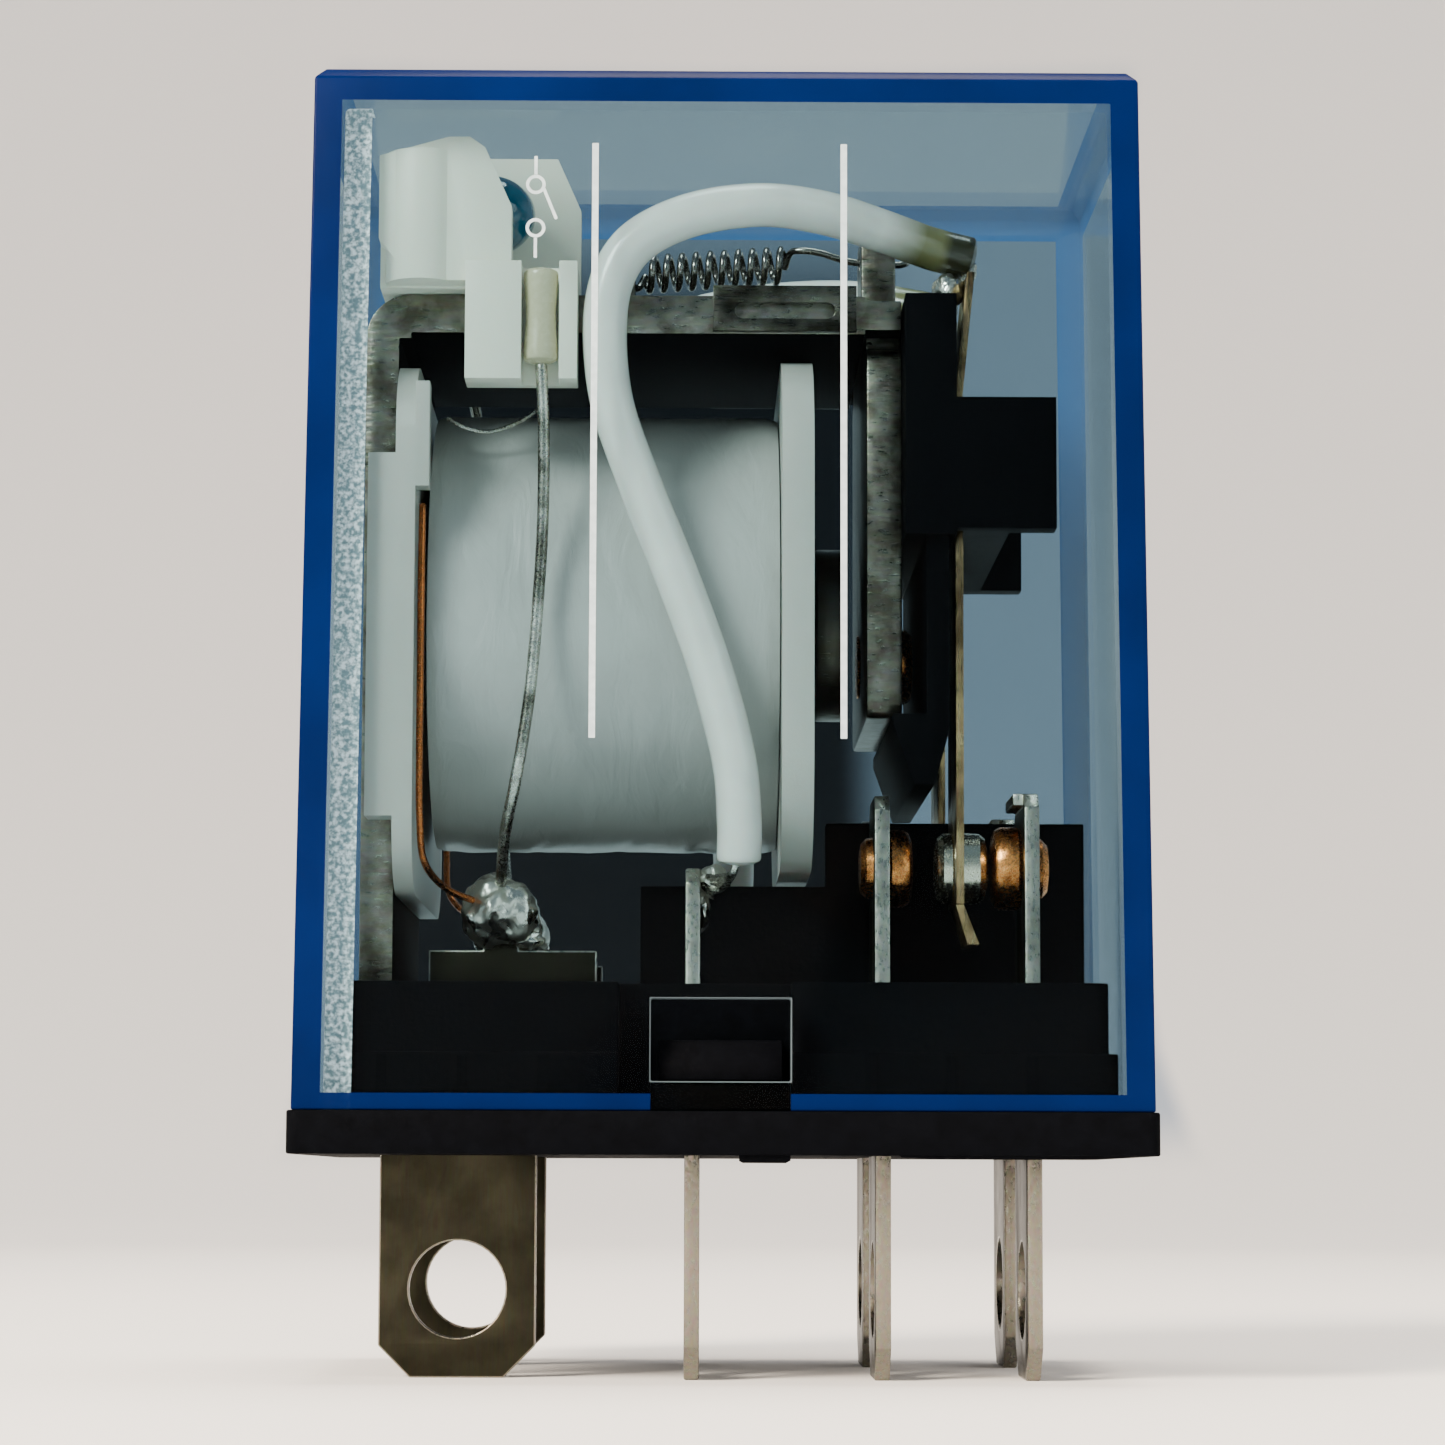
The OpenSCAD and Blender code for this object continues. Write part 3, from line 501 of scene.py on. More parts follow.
def finishes(colours):
    """Every material, by the name of its finish."""
    dark = colours.base
    return {
        "cover": clear_polycarbonate(colours),
        "cover_inside": inner_polycarbonate(colours),
        # the rim of a catch window: a cut edge that catches a little grey light
        "cut_rim": moulded("polycarbonate_rim", linear("#46535b"), 0.1 * MM, 0.5, specular=0.2),
        # glass-filled phenolic, moulded: near black, matt, with pale mottling of the filler
        "phenolic": moulded(
            "black_phenolic", dark, 0.16 * MM, 0.7, spread=0.65, specular=0.02, depth=0.02, patch=0.5 * MM
        ),
        # glass-filled nylon card: the same black with a slightly smoother skin
        "black_nylon": moulded("black_nylon", shaded(dark, 0.8), 0.12 * MM, 0.6, spread=0.25, specular=0.03),
        # natural nylon of the bobbin: milky white, satin, light sinks a little way in
        "nylon": moulded("white_nylon", colours.nylon, 0.1 * MM, 0.42, spread=0.06, scatter=0.12),
        "cream": moulded("cream_nylon", colours.cream, 0.1 * MM, 0.45, spread=0.05, scatter=0.1),
        "resistor": moulded("resistor_lacquer", linear("#c8bf9f"), 0.2 * MM, 0.25, spread=0.1),
        "tape": film_tape(colours),
        "insulation": insulation(colours),
        "lamp": lamp_resin(colours),
        "ink": print_ink(),
        "solder": soldered("tin_solder"),
        # rolled brass with dull tin: grey olive flats with upright rolling lines and cloudy tarnish, painted
        # near black as a painted reflection of dark surroundings
        "tin_flat": metal("tin_painted_dark_reflection", colours.tin, 0.4, 0.05 * MM, (1, 1, 0.06), 0.22),
        # the sheared edge of a blade, with painted light: brighter inside the cover than below the base
        "tin_edge": metal(
            "bright_tin_edge", linear("#b2afa4"), 0.3, 0.12 * MM, (1, 1, 0.5), 0.3, depth=0.02,
            below_base_painted_tone=linear("#77746a"),
        ),
        # zinc-plated soft iron, rolled: dull grey with a brown cast in the tarnish
        "steel": metal(
            "plated_iron", colours.steel, 0.34, 0.07 * MM, (0.15, 1, 1), 0.3, stain=linear("#4a4439")
        ),
        # the underside and inner side of the yoke: painted shade, near black with hardly any shine
        "painted_shade_iron": moulded("iron_painted_shade", linear("#08090c"), 0.07 * MM, 0.75, spread=0.3, specular=0.02),
        # the sheared edges of the yoke and armature: brown-grey, with fine torn lines that glint
        "sheared_iron": metal(
            "sheared_iron_edge", linear("#8a857a"), 0.32, 0.14 * MM, (0.3, 1, 1), 0.12,
            stain=linear("#5f594e"), depth=0.035, patch=0.9 * MM,
        ),
        "clip": metal(
            "sprung_steel_clip", linear("#5e5b53"), 0.3, 0.08 * MM, (0.2, 1, 1), 0.3, stain=linear("#2b2822")
        ),
        "spring": metal("spring_steel_wire", linear("#8c8982"), 0.18, 0.05 * MM, (1, 1, 1), 0.2),
        # cold-headed copper: turning marks and an orange with darker patches of tarnish
        "copper": metal(
            "copper_rivet", colours.copper, 0.24, 0.08 * MM, (1, 1, 1), 0.18, stain=linear("#96562a"),
            patch=0.6 * MM,
        ),
        "bronze": metal(
            "phosphor_bronze", linear("#a98f6a"), 0.28, 0.06 * MM, (1, 1, 0.08), 0.2, stain=linear("#6b563c")
        ),
        "silver": metal("silver_alloy", linear("#e2dcc6"), 0.2, 0.08 * MM, (1, 1, 1), 0.1, patch=0.7 * MM),
        "enamel": metal("enamelled_copper", linear("#b5683a"), 0.22, 0.06 * MM, (1, 1, 1), 0.15),
        "tinned": metal(
            "tinned_wire", linear("#c4c2b8"), 0.26, 0.08 * MM, (1, 1, 1), 0.2, stain=linear("#6f6c62")
        ),
    }


MATERIALS = {}


def finished(scene):
    """The materials, made once from the scene's colours when the first piece asks for them."""
    if not MATERIALS:
        MATERIALS.update(finishes(scene.relay_colours))
    return MATERIALS


# ---- mesh helpers ----


def add_object(name, bm, materials):
    """An object at the origin from a bmesh, with smooth faces that break at sharp edges."""
    bmesh.ops.recalc_face_normals(bm, faces=bm.faces)
    for face in bm.faces:
        face.smooth = True
    for edge in bm.edges:
        edge.smooth = not edge.is_manifold or edge.calc_face_angle(0) < SHARP_TURN
    mesh = bpy.data.meshes.new(name)
    bm.to_mesh(mesh)
    bm.free()
    for m in materials:
        mesh.materials.append(m)
    made = bpy.data.objects.new(name, mesh)
    bpy.context.scene.collection.objects.link(made)
    return made


def merged(node, bevel=0.0, segments=2, angle=28):
    """A bmesh of a CAD node with its flat faces joined and its sharp edges rounded."""
    bm = bmesh.new()
    bm.from_mesh(frame["nodes"][node].data)
    bmesh.ops.remove_doubles(bm, verts=bm.verts, dist=0.0005 * MM)
    bmesh.ops.dissolve_limit(bm, angle_limit=math.radians(0.6), verts=bm.verts, edges=bm.edges)
    if bevel:
        sharp = [e for e in bm.edges if e.is_manifold and e.calc_face_angle(0) > math.radians(angle)]
        bmesh.ops.bevel(
            bm, geom=sharp, offset=bevel, segments=segments, profile=0.5, affect="EDGES", clamp_overlap=True
        )
    return bm


def settle(made, slot, *nodes):
    """The piece rides on the body of the CAD nodes that it stands for and hides them; the slot it is given
    is not used.
    """
    body = frame["nodes"][nodes[0]]["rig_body"]
    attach(made, body)
    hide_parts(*nodes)
    return made


def smooth_route(points, steps):
    """Points of a Catmull-Rom curve through a route given in millimetres, in metres."""
    p = [Vector(q) * MM for q in points]
    p = [2 * p[0] - p[1], *p, 2 * p[-1] - p[-2]]
    made = []
    for a, b, c, d in zip(p, p[1:], p[2:], p[3:]):
        for k in range(steps):
            t = k / steps
            slow = 2 * b + (c - a) * t + (2 * a - 5 * b + 4 * c - d) * t * t
            made.append(0.5 * (slow + (3 * b - a - 3 * c + d) * t**3))
    return made + [p[-2]]


def mirrored(points, end):
    """The front route, or its mirror image at the rear."""
    return points if end == "front" else tuple((x, -y, z) for x, y, z in points)


def sweep(bm, path, radius, sides, layer=None, index=0):
    """A round wire along the path, with domed ends. radius is a number or a function of 0 to 1."""
    size = radius if callable(radius) else lambda t: radius
    count = len(path)
    tangent = [(path[min(i + 1, count - 1)] - path[max(i - 1, 0)]).normalized() for i in range(count)]
    normal = tangent[0].orthogonal().normalized()
    stations = []
    for i, (point, way) in enumerate(zip(path, tangent)):
        normal = (normal - way * normal.dot(way)).normalized()
        stations.append((point, way, normal.copy(), size(i / (count - 1)), i / (count - 1)))
    first, last = stations[0], stations[-1]
    dome = ((0.35, 0.94), (0.75, 0.66), (0.97, 0.24))
    head = [
        (first[0] - first[1] * first[3] * h * 0.35, first[1], first[2], first[3] * r, 0.0) for h, r in dome
    ]
    tail = [(last[0] + last[1] * last[3] * h * 0.35, last[1], last[2], last[3] * r, 1.0) for h, r in dome]
    rings = []
    for point, way, side, r, t in [*reversed(head), *stations, *tail]:
        up = way.cross(side)
        ring = []
        for k in range(sides):
            a = math.tau * k / sides
            v = bm.verts.new(point + (side * math.cos(a) + up * math.sin(a)) * r)
            if layer is not None:
                v[layer] = t
            ring.append(v)
        rings.append(ring)
    faces = []
    for a, b in zip(rings, rings[1:]):
        for k in range(sides):
            m = (k + 1) % sides
            faces.append(bm.faces.new((a[k], a[m], b[m], b[k])))
    faces.append(bm.faces.new(list(reversed(rings[0]))))
    faces.append(bm.faces.new(rings[-1]))
    for face in faces:
        face.material_index = index


def lathe(bm, profile, centre, sides, index=0):
    """A profile of (radius, x) points in metres turned about an axis along X through the centre."""
    rings = []
    for r, x in profile:
        if r < 1e-9:
            rings.append([bm.verts.new((x, centre[1], centre[2]))])
            continue
        turn = [math.tau * k / sides for k in range(sides)]
        rings.append(
            [bm.verts.new((x, centre[1] + r * math.cos(a), centre[2] + r * math.sin(a))) for a in turn]
        )
    for a, b in zip(rings, rings[1:]):
        for k in range(sides):
            m = (k + 1) % sides
            corners = [a[k % len(a)], a[m % len(a)], b[m % len(b)], b[k % len(b)]]
            unique = list(dict.fromkeys(corners))
            if len(unique) > 2:
                bm.faces.new(unique).material_index = index


def box_between(bm, low, high, index=0):
    """A closed box between two corners, in metres."""
    made = bmesh.ops.create_cube(bm, size=1.0)
    low, high = Vector(low), Vector(high)
    for v in made["verts"]:
        v.co = Vector(((low[i] + high[i]) / 2 + v.co[i] * (high[i] - low[i]) for i in range(3)))
    for face in {f for v in made["verts"] for f in v.link_faces}:
        face.material_index = index
    return made["verts"]


def blob(bm, centre, radii, wobble, seed, index=0, level=4):
    """A swollen drop of solder: a sphere with slow swells and dents."""
    made = bmesh.ops.create_icosphere(bm, subdivisions=level, radius=1.0)
    for v in made["verts"]:
        way = v.co.normalized()
        swell = noise.noise(way * 1.6 + Vector((seed, 0, 0)))
        swell += 0.5 * noise.noise(way * 3.7 + Vector((0, seed, 0)))
        v.co = Vector(centre) + Vector(way[i] * radii[i] for i in range(3)) * (1 + wobble * (swell - 0.4))
    for face in {f for v in made["verts"] for f in v.link_faces}:
        face.material_index = index


# ---- operators ----


class RELAY_OT_cover(Operator):
    """Builds the clear cover with its rounded edges, the rims of its catch windows and the printed marks"""

    bl_idname = "relay.cover"
    bl_label = "Clear Cover"

    def execute(self, context):
        scene = context.scene
        sizes, m = scene.relay_sizes, finished(scene)
        bm = merged("cover", sizes.cover_edge, 3)
        skin_depth = COVER_WALL * 0.7
        for face in bm.faces:
            c = face.calc_center_median()
            lean = COVER_DRAFT * (c.z - COVER_LOW.z)
            inside_x = abs(c.x) < COVER_HIGH.x - lean - skin_depth
            inside_y = abs(c.y) < COVER_HIGH.y - lean - skin_depth
            inside_z = c.z < COVER_HIGH.z - skin_depth
            if inside_x and inside_y and inside_z:
                face.material_index = 1
            elif abs(c.x - CATCH_X) < 2.4 * MM and 2.2 * MM < c.z < 5.2 * MM and abs(face.normal.y) < 0.9:
                face.material_index = 2
        finish = [m["cover"], m["cover_inside"], m["cut_rim"]]
        settle(add_object("cover_shell", bm, finish), "clear_cover", "cover")
        marks = bmesh.new()
        skin = 0.03 * MM

        def front_y(z):
            """The middle of the ink's depth on the front wall, which leans back with height."""
            return COVER_LOW.y + COVER_DRAFT * (z - COVER_LOW.z) - skin / 2

        def strip(a, b, width):
            """A printed line from a to b, points in X and Z."""
            ends = [Vector((p[0], front_y(p[1]), p[1])) for p in (a, b)]
            way = (ends[1] - ends[0]).normalized()
            side = Vector((way.z, 0, -way.x)) * width / 2
            corners = (-1, 0), (1, 0), (1, skin), (-1, skin)
            low, high = (
                [marks.verts.new(e + s * side + Vector((0, t, 0))) for s, t in corners] for e in ends
            )
            for k in range(4):
                n = (k + 1) % 4
                marks.faces.new((low[k], low[n], high[n], high[k]))
            marks.faces.new(low)
            marks.faces.new(list(reversed(high)))

        def ring(x, z, radius, width):
            """A printed circle."""
            parts = 32
            inner, outer = radius - width / 2, radius + width / 2
            loops = []
            for r, back in ((inner, 0), (outer, 0), (outer, 1), (inner, 1)):
                loop = []
                for k in range(parts):
                    a = math.tau * k / parts
                    height = z + r * math.sin(a)
                    loop.append(
                        marks.verts.new((x + r * math.cos(a), front_y(height) + back * skin, height))
                    )
                loops.append(loop)
            for a, b in zip(loops, loops[1:] + loops[:1]):
                for k in range(parts):
                    n = (k + 1) % parts
                    marks.faces.new((a[k], a[n], b[n], b[k]))

        top = COVER_HIGH.z - 2.55 * MM
        low = COVER_LOW.z + 12 * MM
        for x in (-4.3 * MM, 3.85 * MM):
            strip((x, low), (x, top), sizes.rule)
        thin = sizes.rule * 0.5
        x = -6.25 * MM
        for z in (31.65 * MM, 30.2 * MM):
            ring(x, z, 0.27 * MM, thin)
        strip((x, 31.98 * MM), (x, 32.6 * MM), thin)
        strip((x, 29.87 * MM), (x, 29.2 * MM), thin)
        strip((x + 0.27 * MM, 31.5 * MM), (x + 0.68 * MM, 30.5 * MM), thin)
        made = add_object("cover_marks", marks, [m["ink"]])
        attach(made, "cover")
        return {"FINISHED"}


class RELAY_OT_base(Operator):
    """Builds the black moulded base with its gate mark, ribs and rounded edges"""

    bl_idname = "relay.base"
    bl_label = "Moulded Base"

    def execute(self, context):
        sizes = context.scene.relay_sizes
        low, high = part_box("base")
        bm = merged("base", sizes.edge, 2, 40)
        # gate stub and the worn pad beside it, under the front edge of the flange
        stub = (0, 0.5), (0.22, 0.5), (0.28, 0.62), (0.28, 2), (0.2, 2.15), (0, 2.15)
        pad = (0, 5.6), (0.1, 5.7), (0.16, 7), (0.16, 11.5), (0.08, 13), (0, 13.1)
        for profile, inset, height, sides in ((stub, 0.45, 0.03, 20), (pad, 0.3, 0.04, 16)):
            turned = [(r * MM, x * MM) for r, x in profile]
            lathe(bm, turned, (0, low.y + inset * MM, height * MM), sides)
        # knock-out ribs on the front and rear of the plinth, either side of the catch window
        for side in (-1, 1):
            for x in (-11.2, -8.6, -6, 4.6, 7.2, 9.8):
                y = side * (high.y - 1.19 * MM)
                box_between(
                    bm, (x * MM, y - 0.05 * MM, 1.45 * MM), ((x + 0.35) * MM, y + 0.05 * MM, 3.2 * MM)
                )
        settle(add_object("base_moulding", bm, [finished(context.scene)["phenolic"]]), "black_base", "base")
        return {"FINISHED"}


class RELAY_OT_terminals(Operator):
    """Builds the eight stamped blades, dull on the flat and bright along their sheared edges"""

    bl_idname = "relay.terminals"
    bl_label = "Blade Terminals"

    def execute(self, context):
        sizes, m = context.scene.relay_sizes, finished(context.scene)
        for kind in ("coil", "common", "open", "closed"):
            wide = Vector((0, 1, 0)) if kind == "coil" else Vector((1, 0, 0))
            for end in ENDS:
                node = f"{kind}_terminal_{end}"
                bm = merged(node, sizes.sheared_edge, 2)
                bm.normal_update()
                for face in bm.faces:
                    face.material_index = 0 if abs(face.normal.dot(wide)) > 0.97 else 1
                blade = add_object(f"{kind}_blade_{end}", bm, [m["tin_flat"], m["tin_edge"]])
                settle(blade, "tinned_brass", node)
        return {"FINISHED"}


class RELAY_OT_contacts(Operator):
    """Builds the riveted copper contacts and the silver-faced moving contacts"""

    bl_idname = "relay.contacts"
    bl_label = "Contacts"

    def execute(self, context):
        m = finished(context.scene)
        for end in ENDS:
            side = -1 if end == "front" else 1
            for kind, plate, face_x, way in (("open", 5.25, 6.35, 1), ("closed", 10.2, 8.93, -1)):
                node = f"{kind}_contact_{end}"
                low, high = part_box(node)
                r = (high.z - low.z) / 2
                centre = ((low.x + high.x) / 2, (low.y + high.y) / 2, (low.z + high.z) / 2)
                face = face_x * MM
                near = (plate + way * 0.25) * MM
                far = (plate - way * 0.25) * MM
                d = way * MM
                profile = [
                    (0, face), (r * 0.45, face - 0.01 * d), (r * 0.75, face - 0.05 * d),
                    (r * 0.92, face - 0.15 * d), (r, face - 0.34 * d), (r, near + 0.12 * d),
                    (r * 0.94, near), (0.68 * MM, near), (0.68 * MM, far), (1.04 * MM, far),
                    (1.0 * MM, far - 0.22 * d), (0.8 * MM, far - 0.4 * d), (0.45 * MM, far - 0.45 * d),
                    (0, far - 0.42 * d),
                ]
                bm = bmesh.new()
                lathe(bm, profile, centre, 48)
                settle(add_object(f"{kind}_rivet_{end}", bm, [m["copper"]]), "copper", node)
            node = f"moving_contact_{end}"
            low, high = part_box(node)
            centre = (0, side * 5 * MM, (low.z + high.z) / 2)
            r = (high.z - low.z) / 2
            strip = 7.695 * MM, 7.945 * MM
            profile = [
                (0, low.x), (r * 0.5, low.x + 0.03 * MM), (r * 0.85, low.x + 0.12 * MM),
                (r * 0.98, low.x + 0.3 * MM), (r, strip[0] - 0.05 * MM), (r * 0.96, strip[0]),
                (0.58 * MM, strip[0]), (0.58 * MM, strip[1]), (r * 0.96, strip[1]),
                (r, strip[1] + 0.06 * MM), (r * 0.98, high.x - 0.34 * MM), (r * 0.85, high.x - 0.14 * MM),
                (r * 0.5, high.x - 0.03 * MM), (0, high.x),
            ]
            bm = bmesh.new()
            lathe(bm, profile, centre, 48)
            settle(add_object(f"moving_button_{end}", bm, [m["silver"]]), "silver_alloy", node)
        return {"FINISHED"}


class RELAY_OT_magnet(Operator):
    """Builds the yoke, the slotted clip beside the hinge and the iron core"""

    bl_idname = "relay.magnet"
    bl_label = "Magnet Frame"

    def execute(self, context):
        m = finished(context.scene)
        bm = merged("yoke", 0.12 * MM, 2)
        bm.normal_update()
        # painted shade: the faces under the yoke and on the inner side of its leg go near black
        for face in bm.faces:
            if face.normal.z < -0.8 or face.normal.x > 0.8 and face.calc_center_median().x < 0:
                face.material_index = 1
            elif abs(face.normal.y) > 0.5:
                face.material_index = 2
        finish = [m["steel"], m["painted_shade_iron"], m["sheared_iron"]]
        settle(add_object("yoke_frame", bm, finish), "plated_steel", "yoke")
        clip = merged("hinge_clip", 0.08 * MM, 2)
        settle(add_object("hinge_saddle", clip, [m["clip"]]), "plated_steel", "hinge_clip")
        settle(add_object("iron_core", merged("core", 0.1 * MM, 2), [m["steel"]]), "plated_steel", "core")
        return {"FINISHED"}


class RELAY_OT_bobbin(Operator):
    """Builds the white bobbin with its two flanges"""

    bl_idname = "relay.bobbin"
    bl_label = "Bobbin"

    def execute(self, context):
        bm = merged("bobbin", 0.22 * MM, 3, 35)
        settle(add_object("bobbin_body", bm, [finished(context.scene)["nylon"]]), "white_nylon", "bobbin")
        return {"FINISHED"}


def opened_tree(title, **sockets):
    """A Geometry Nodes tree with these inputs: the tree, its input node and the inputs' identifiers."""
    tree = bpy.data.node_groups.new(title, "GeometryNodeTree")
    face = tree.interface
    face.new_socket("Geometry", in_out="OUTPUT", socket_type="NodeSocketGeometry")
    names = {}
    for key, kind in (sockets | {"Material": "Material"}).items():
        name = key.replace("_", " ")
        names[name] = face.new_socket(name, in_out="INPUT", socket_type="NodeSocket" + kind).identifier
    return tree, add(tree, "NodeGroupInput"), names


def closed_tree(tree, given, geometry):
    """Turns the geometry into plain mesh in the given material and sends it out of the tree."""
    real = add(tree, "GeometryNodeRealizeInstances", {0: geometry})
    finish = add(tree, "GeometryNodeSetMaterial", {"Geometry": real, "Material": given.outputs["Material"]})
    add(tree, "NodeGroupOutput", {0: finish})


def winding_tree():
    """Copper turns side by side along X: one ring of wire on each point of a line."""
    tree, given, names = opened_tree(
        "coil_winding", Turns="Int", Pitch="Float", Radius="Float", Wire_Radius="Float", Start="Vector"
    )
    step = add(tree, "ShaderNodeCombineXYZ", {0: given.outputs["Pitch"]})
    line = add(tree, "GeometryNodeMeshLine", {
        "Count": given.outputs["Turns"], "Start Location": given.outputs["Start"], "Offset": step,
    })
    ring = add(tree, "GeometryNodeCurvePrimitiveCircle", {
        "Resolution": 64, "Radius": given.outputs["Radius"],
    })
    wire = add(tree, "GeometryNodeCurvePrimitiveCircle", {
        "Resolution": 6, "Radius": given.outputs["Wire Radius"],
    })
    turn = add(tree, "GeometryNodeCurveToMesh", {"Curve": ring, "Profile Curve": wire})
    upright = add(tree, "GeometryNodeTransform", {"Geometry": turn, "Rotation": (0, math.pi / 2, 0)})
    placed = add(tree, "GeometryNodeInstanceOnPoints", {"Points": line, "Instance": upright})
    closed_tree(tree, given, placed.outputs[0])
    return tree, names


def helix_tree():
    """The close turns of a tension spring along X, rising towards its right end."""
    tree, given, names = opened_tree(
        "return_spring", Turns="Float", Length="Float", Radius="Float", Wire_Radius="Float",
        Start="Vector", Rotation="Vector",
    )
    spiral = add(tree, "GeometryNodeCurveSpiral", {
        "Resolution": 32, "Rotations": given.outputs["Turns"], "Start Radius": given.outputs["Radius"],
        "End Radius": given.outputs["Radius"], "Height": given.outputs["Length"],
    })
    wire = add(tree, "GeometryNodeCurvePrimitiveCircle", {
        "Resolution": 12, "Radius": given.outputs["Wire Radius"],
    })
    body = add(tree, "GeometryNodeCurveToMesh", {"Curve": spiral, "Profile Curve": wire, "Fill Caps": True})
    placed = add(tree, "GeometryNodeTransform", {
        "Geometry": body, "Translation": given.outputs["Start"], "Rotation": given.outputs["Rotation"],
    })
    closed_tree(tree, given, placed.outputs[0])
    return tree, names


def grown(name, tree, names, values):
    """The mesh that a Geometry Nodes tree makes with these inputs."""
    host = bpy.data.objects.new(name + "_host", bpy.data.meshes.new(name + "_host"))
    bpy.context.scene.collection.objects.link(host)
    modifier = host.modifiers.new("grow", "NODES")
    modifier.node_group = tree
    for key, value in values.items():
        modifier[names[key]] = value
    bpy.context.view_layer.update()
    evaluated = host.evaluated_get(bpy.context.evaluated_depsgraph_get())
    mesh = bpy.data.meshes.new_from_object(evaluated)
    bpy.data.objects.remove(host)
    if not len(mesh.polygons):
        raise RuntimeError(f"{name}: the Geometry Nodes tree made no faces")
    mesh.name = name
    return mesh


class RELAY_OT_coil(Operator):
    """Winds the copper coil and wraps it in creased film tape"""

    bl_idname = "relay.coil"
    bl_label = "Coil and Tape"

    def execute(self, context):
        sizes, m = context.scene.relay_sizes, finished(context.scene)
        low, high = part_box("coil_winding")
        pitch = sizes.winding_pitch
        tree, names = winding_tree()
        mesh = grown("coil_turns", tree, names, {
            "Turns": int((high.x - low.x) / pitch) - 1, "Pitch": pitch, "Radius": COIL_R - 0.52 * MM,
            "Wire Radius": pitch * 0.5, "Start": (low.x + pitch, 0.0, AXIS_Z), "Material": m["enamel"],
        })
        bm = bmesh.new()
        bm.from_mesh(mesh)
        settle(add_object("coil_turns", bm, [m["enamel"]]), "copper_wire", "coil_winding")

        around, rows = 144, 60
        bm = bmesh.new()
        loops = []
        for j in range(rows + 1):
            u = j / rows
            x = COIL_LOW.x + (COIL_HIGH.x - COIL_LOW.x) * u
            ring = []
            for i in range(around):
                turn = i / around
                a = math.tau * turn
                way = Vector((0, -math.cos(a), math.sin(a)))
                # the last lap ends in a step, and creases run round where the film was pulled askew
                lap = 0.07 * (1 - turn)
                crease = 0.06 * abs(
                    noise.noise(Vector((u * 5 + turn * 2, math.cos(a) * 1.3, math.sin(a) * 1.3)))
                )
                fold = 0.035 * max(0, math.sin(26 * u + 5 * math.sin(2 * a) + 3 * noise.noise(way * 2))) ** 6
                end = 0.1 * (max(0, 1 - u * 22) ** 2 + max(0, 1 - (1 - u) * 22) ** 2)
                r = COIL_R - (0.02 + lap + crease + fold + end) * MM
                ring.append(bm.verts.new(Vector((x, 0, AXIS_Z)) + way * r))
            loops.append(ring)
        inner = COIL_R - 0.36 * MM
        for x in (COIL_HIGH.x, COIL_LOW.x):
            ring = []
            for i in range(around):
                a = math.tau * i / around
                way = Vector((0, -math.cos(a), math.sin(a)))
                ring.append(bm.verts.new(Vector((x, 0, AXIS_Z)) + way * inner))
            loops.append(ring)
        for a, b in zip(loops, loops[1:] + loops[:1]):
            for i in range(around):
                k = (i + 1) % around
                bm.faces.new((a[i], a[k], b[k], b[i]))
        settle(add_object("tape_wrap", bm, [m["tape"]]), "coil_tape", "coil_tape")
        return {"FINISHED"}


class RELAY_OT_armature(Operator):
    """Builds the hinged armature with its copper rivet, black card, contact springs and solder"""

    bl_idname = "relay.armature"
    bl_label = "Armature and Card"

    def execute(self, context):
        sizes, m = context.scene.relay_sizes, finished(context.scene)
        bm = merged("armature", 0.12 * MM, 2)
        bm.normal_update()
        for face in bm.faces:
            face.material_index = int(abs(face.normal.y) > 0.5)
        plate = add_object("armature_plate", bm, [m["steel"], m["sheared_iron"]])
        settle(plate, "plated_steel", "armature")
        bm = merged("armature_rivet", 0.1 * MM, 2)
        settle(add_object("armature_stud", bm, [m["copper"]]), "copper", "armature_rivet")
        bm = merged("contact_card", sizes.edge, 2, 40)
        settle(add_object("card_moulding", bm, [m["black_nylon"]]), "black_card", "contact_card")
        for end in ENDS:
            node = f"contact_spring_{end}"
            bm = merged(node, 0.04 * MM, 2)
            settle(add_object(f"spring_blade_{end}", bm, [m["bronze"]]), "spring_bronze", node)
            node = f"spring_solder_{end}"
            low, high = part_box(node)
            centre = (low + high) / 2
            bm = bmesh.new()
            blob(bm, centre, (0.62 * MM, 0.85 * MM, 0.6 * MM), 0.14, 3.1)
            settle(add_object(f"spring_joint_{end}", bm, [m["solder"]]), "solder", node)
        return {"FINISHED"}


class RELAY_OT_return_spring(Operator):
    """Winds the return spring and its two hooks"""

    bl_idname = "relay.return_spring"
    bl_label = "Return Spring"

    def execute(self, context):
        sizes, m = context.scene.relay_sizes, finished(context.scene)
        # the first and the last turn, in the middle of the coil
        start, finish = Vector((-2.75, 0, 30.9)) * MM, Vector((2.2, 0, 31.25)) * MM
        way = finish - start
        tree, names = helix_tree()
        mesh = grown("return_coil", tree, names, {
            "Turns": float(sizes.spring_turns), "Length": way.length, "Radius": sizes.spring_coil,
            "Wire Radius": sizes.spring_wire / 2, "Start": tuple(start),
            "Rotation": tuple(way.to_track_quat("Z", "Y").to_euler()), "Material": m["spring"],
        })
        bm = bmesh.new()
        bm.from_mesh(mesh)
        hooks = (
            (
                (-2.75, 0.58, 30.95), (-3.0, 0.25, 30.45), (-3.3, 0, 30.6), (-3.5, 0, 30.85),
                (-3.9, 0, 31.0), (-4.35, 0, 30.75), (-4.3, 0, 30.35),
            ),
            (
                (2.15, 0.58, 31.25), (2.35, 0.35, 31.75), (2.7, 0.1, 31.8), (3.4, 0, 31.7), (4.4, 0, 31.4),
                (5.4, 0, 31.3), (6.3, 0, 31.3), (6.6, 0, 31.6), (6.3, 0, 31.85),
            ),
        )
        for hook in hooks:
            sweep(bm, smooth_route(hook, 6), sizes.spring_wire / 2, 12)
        made = add_object("return_spring_wire", bm, [m["spring"]])
        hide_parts("return_spring")
        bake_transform(made)
        return {"FINISHED"}


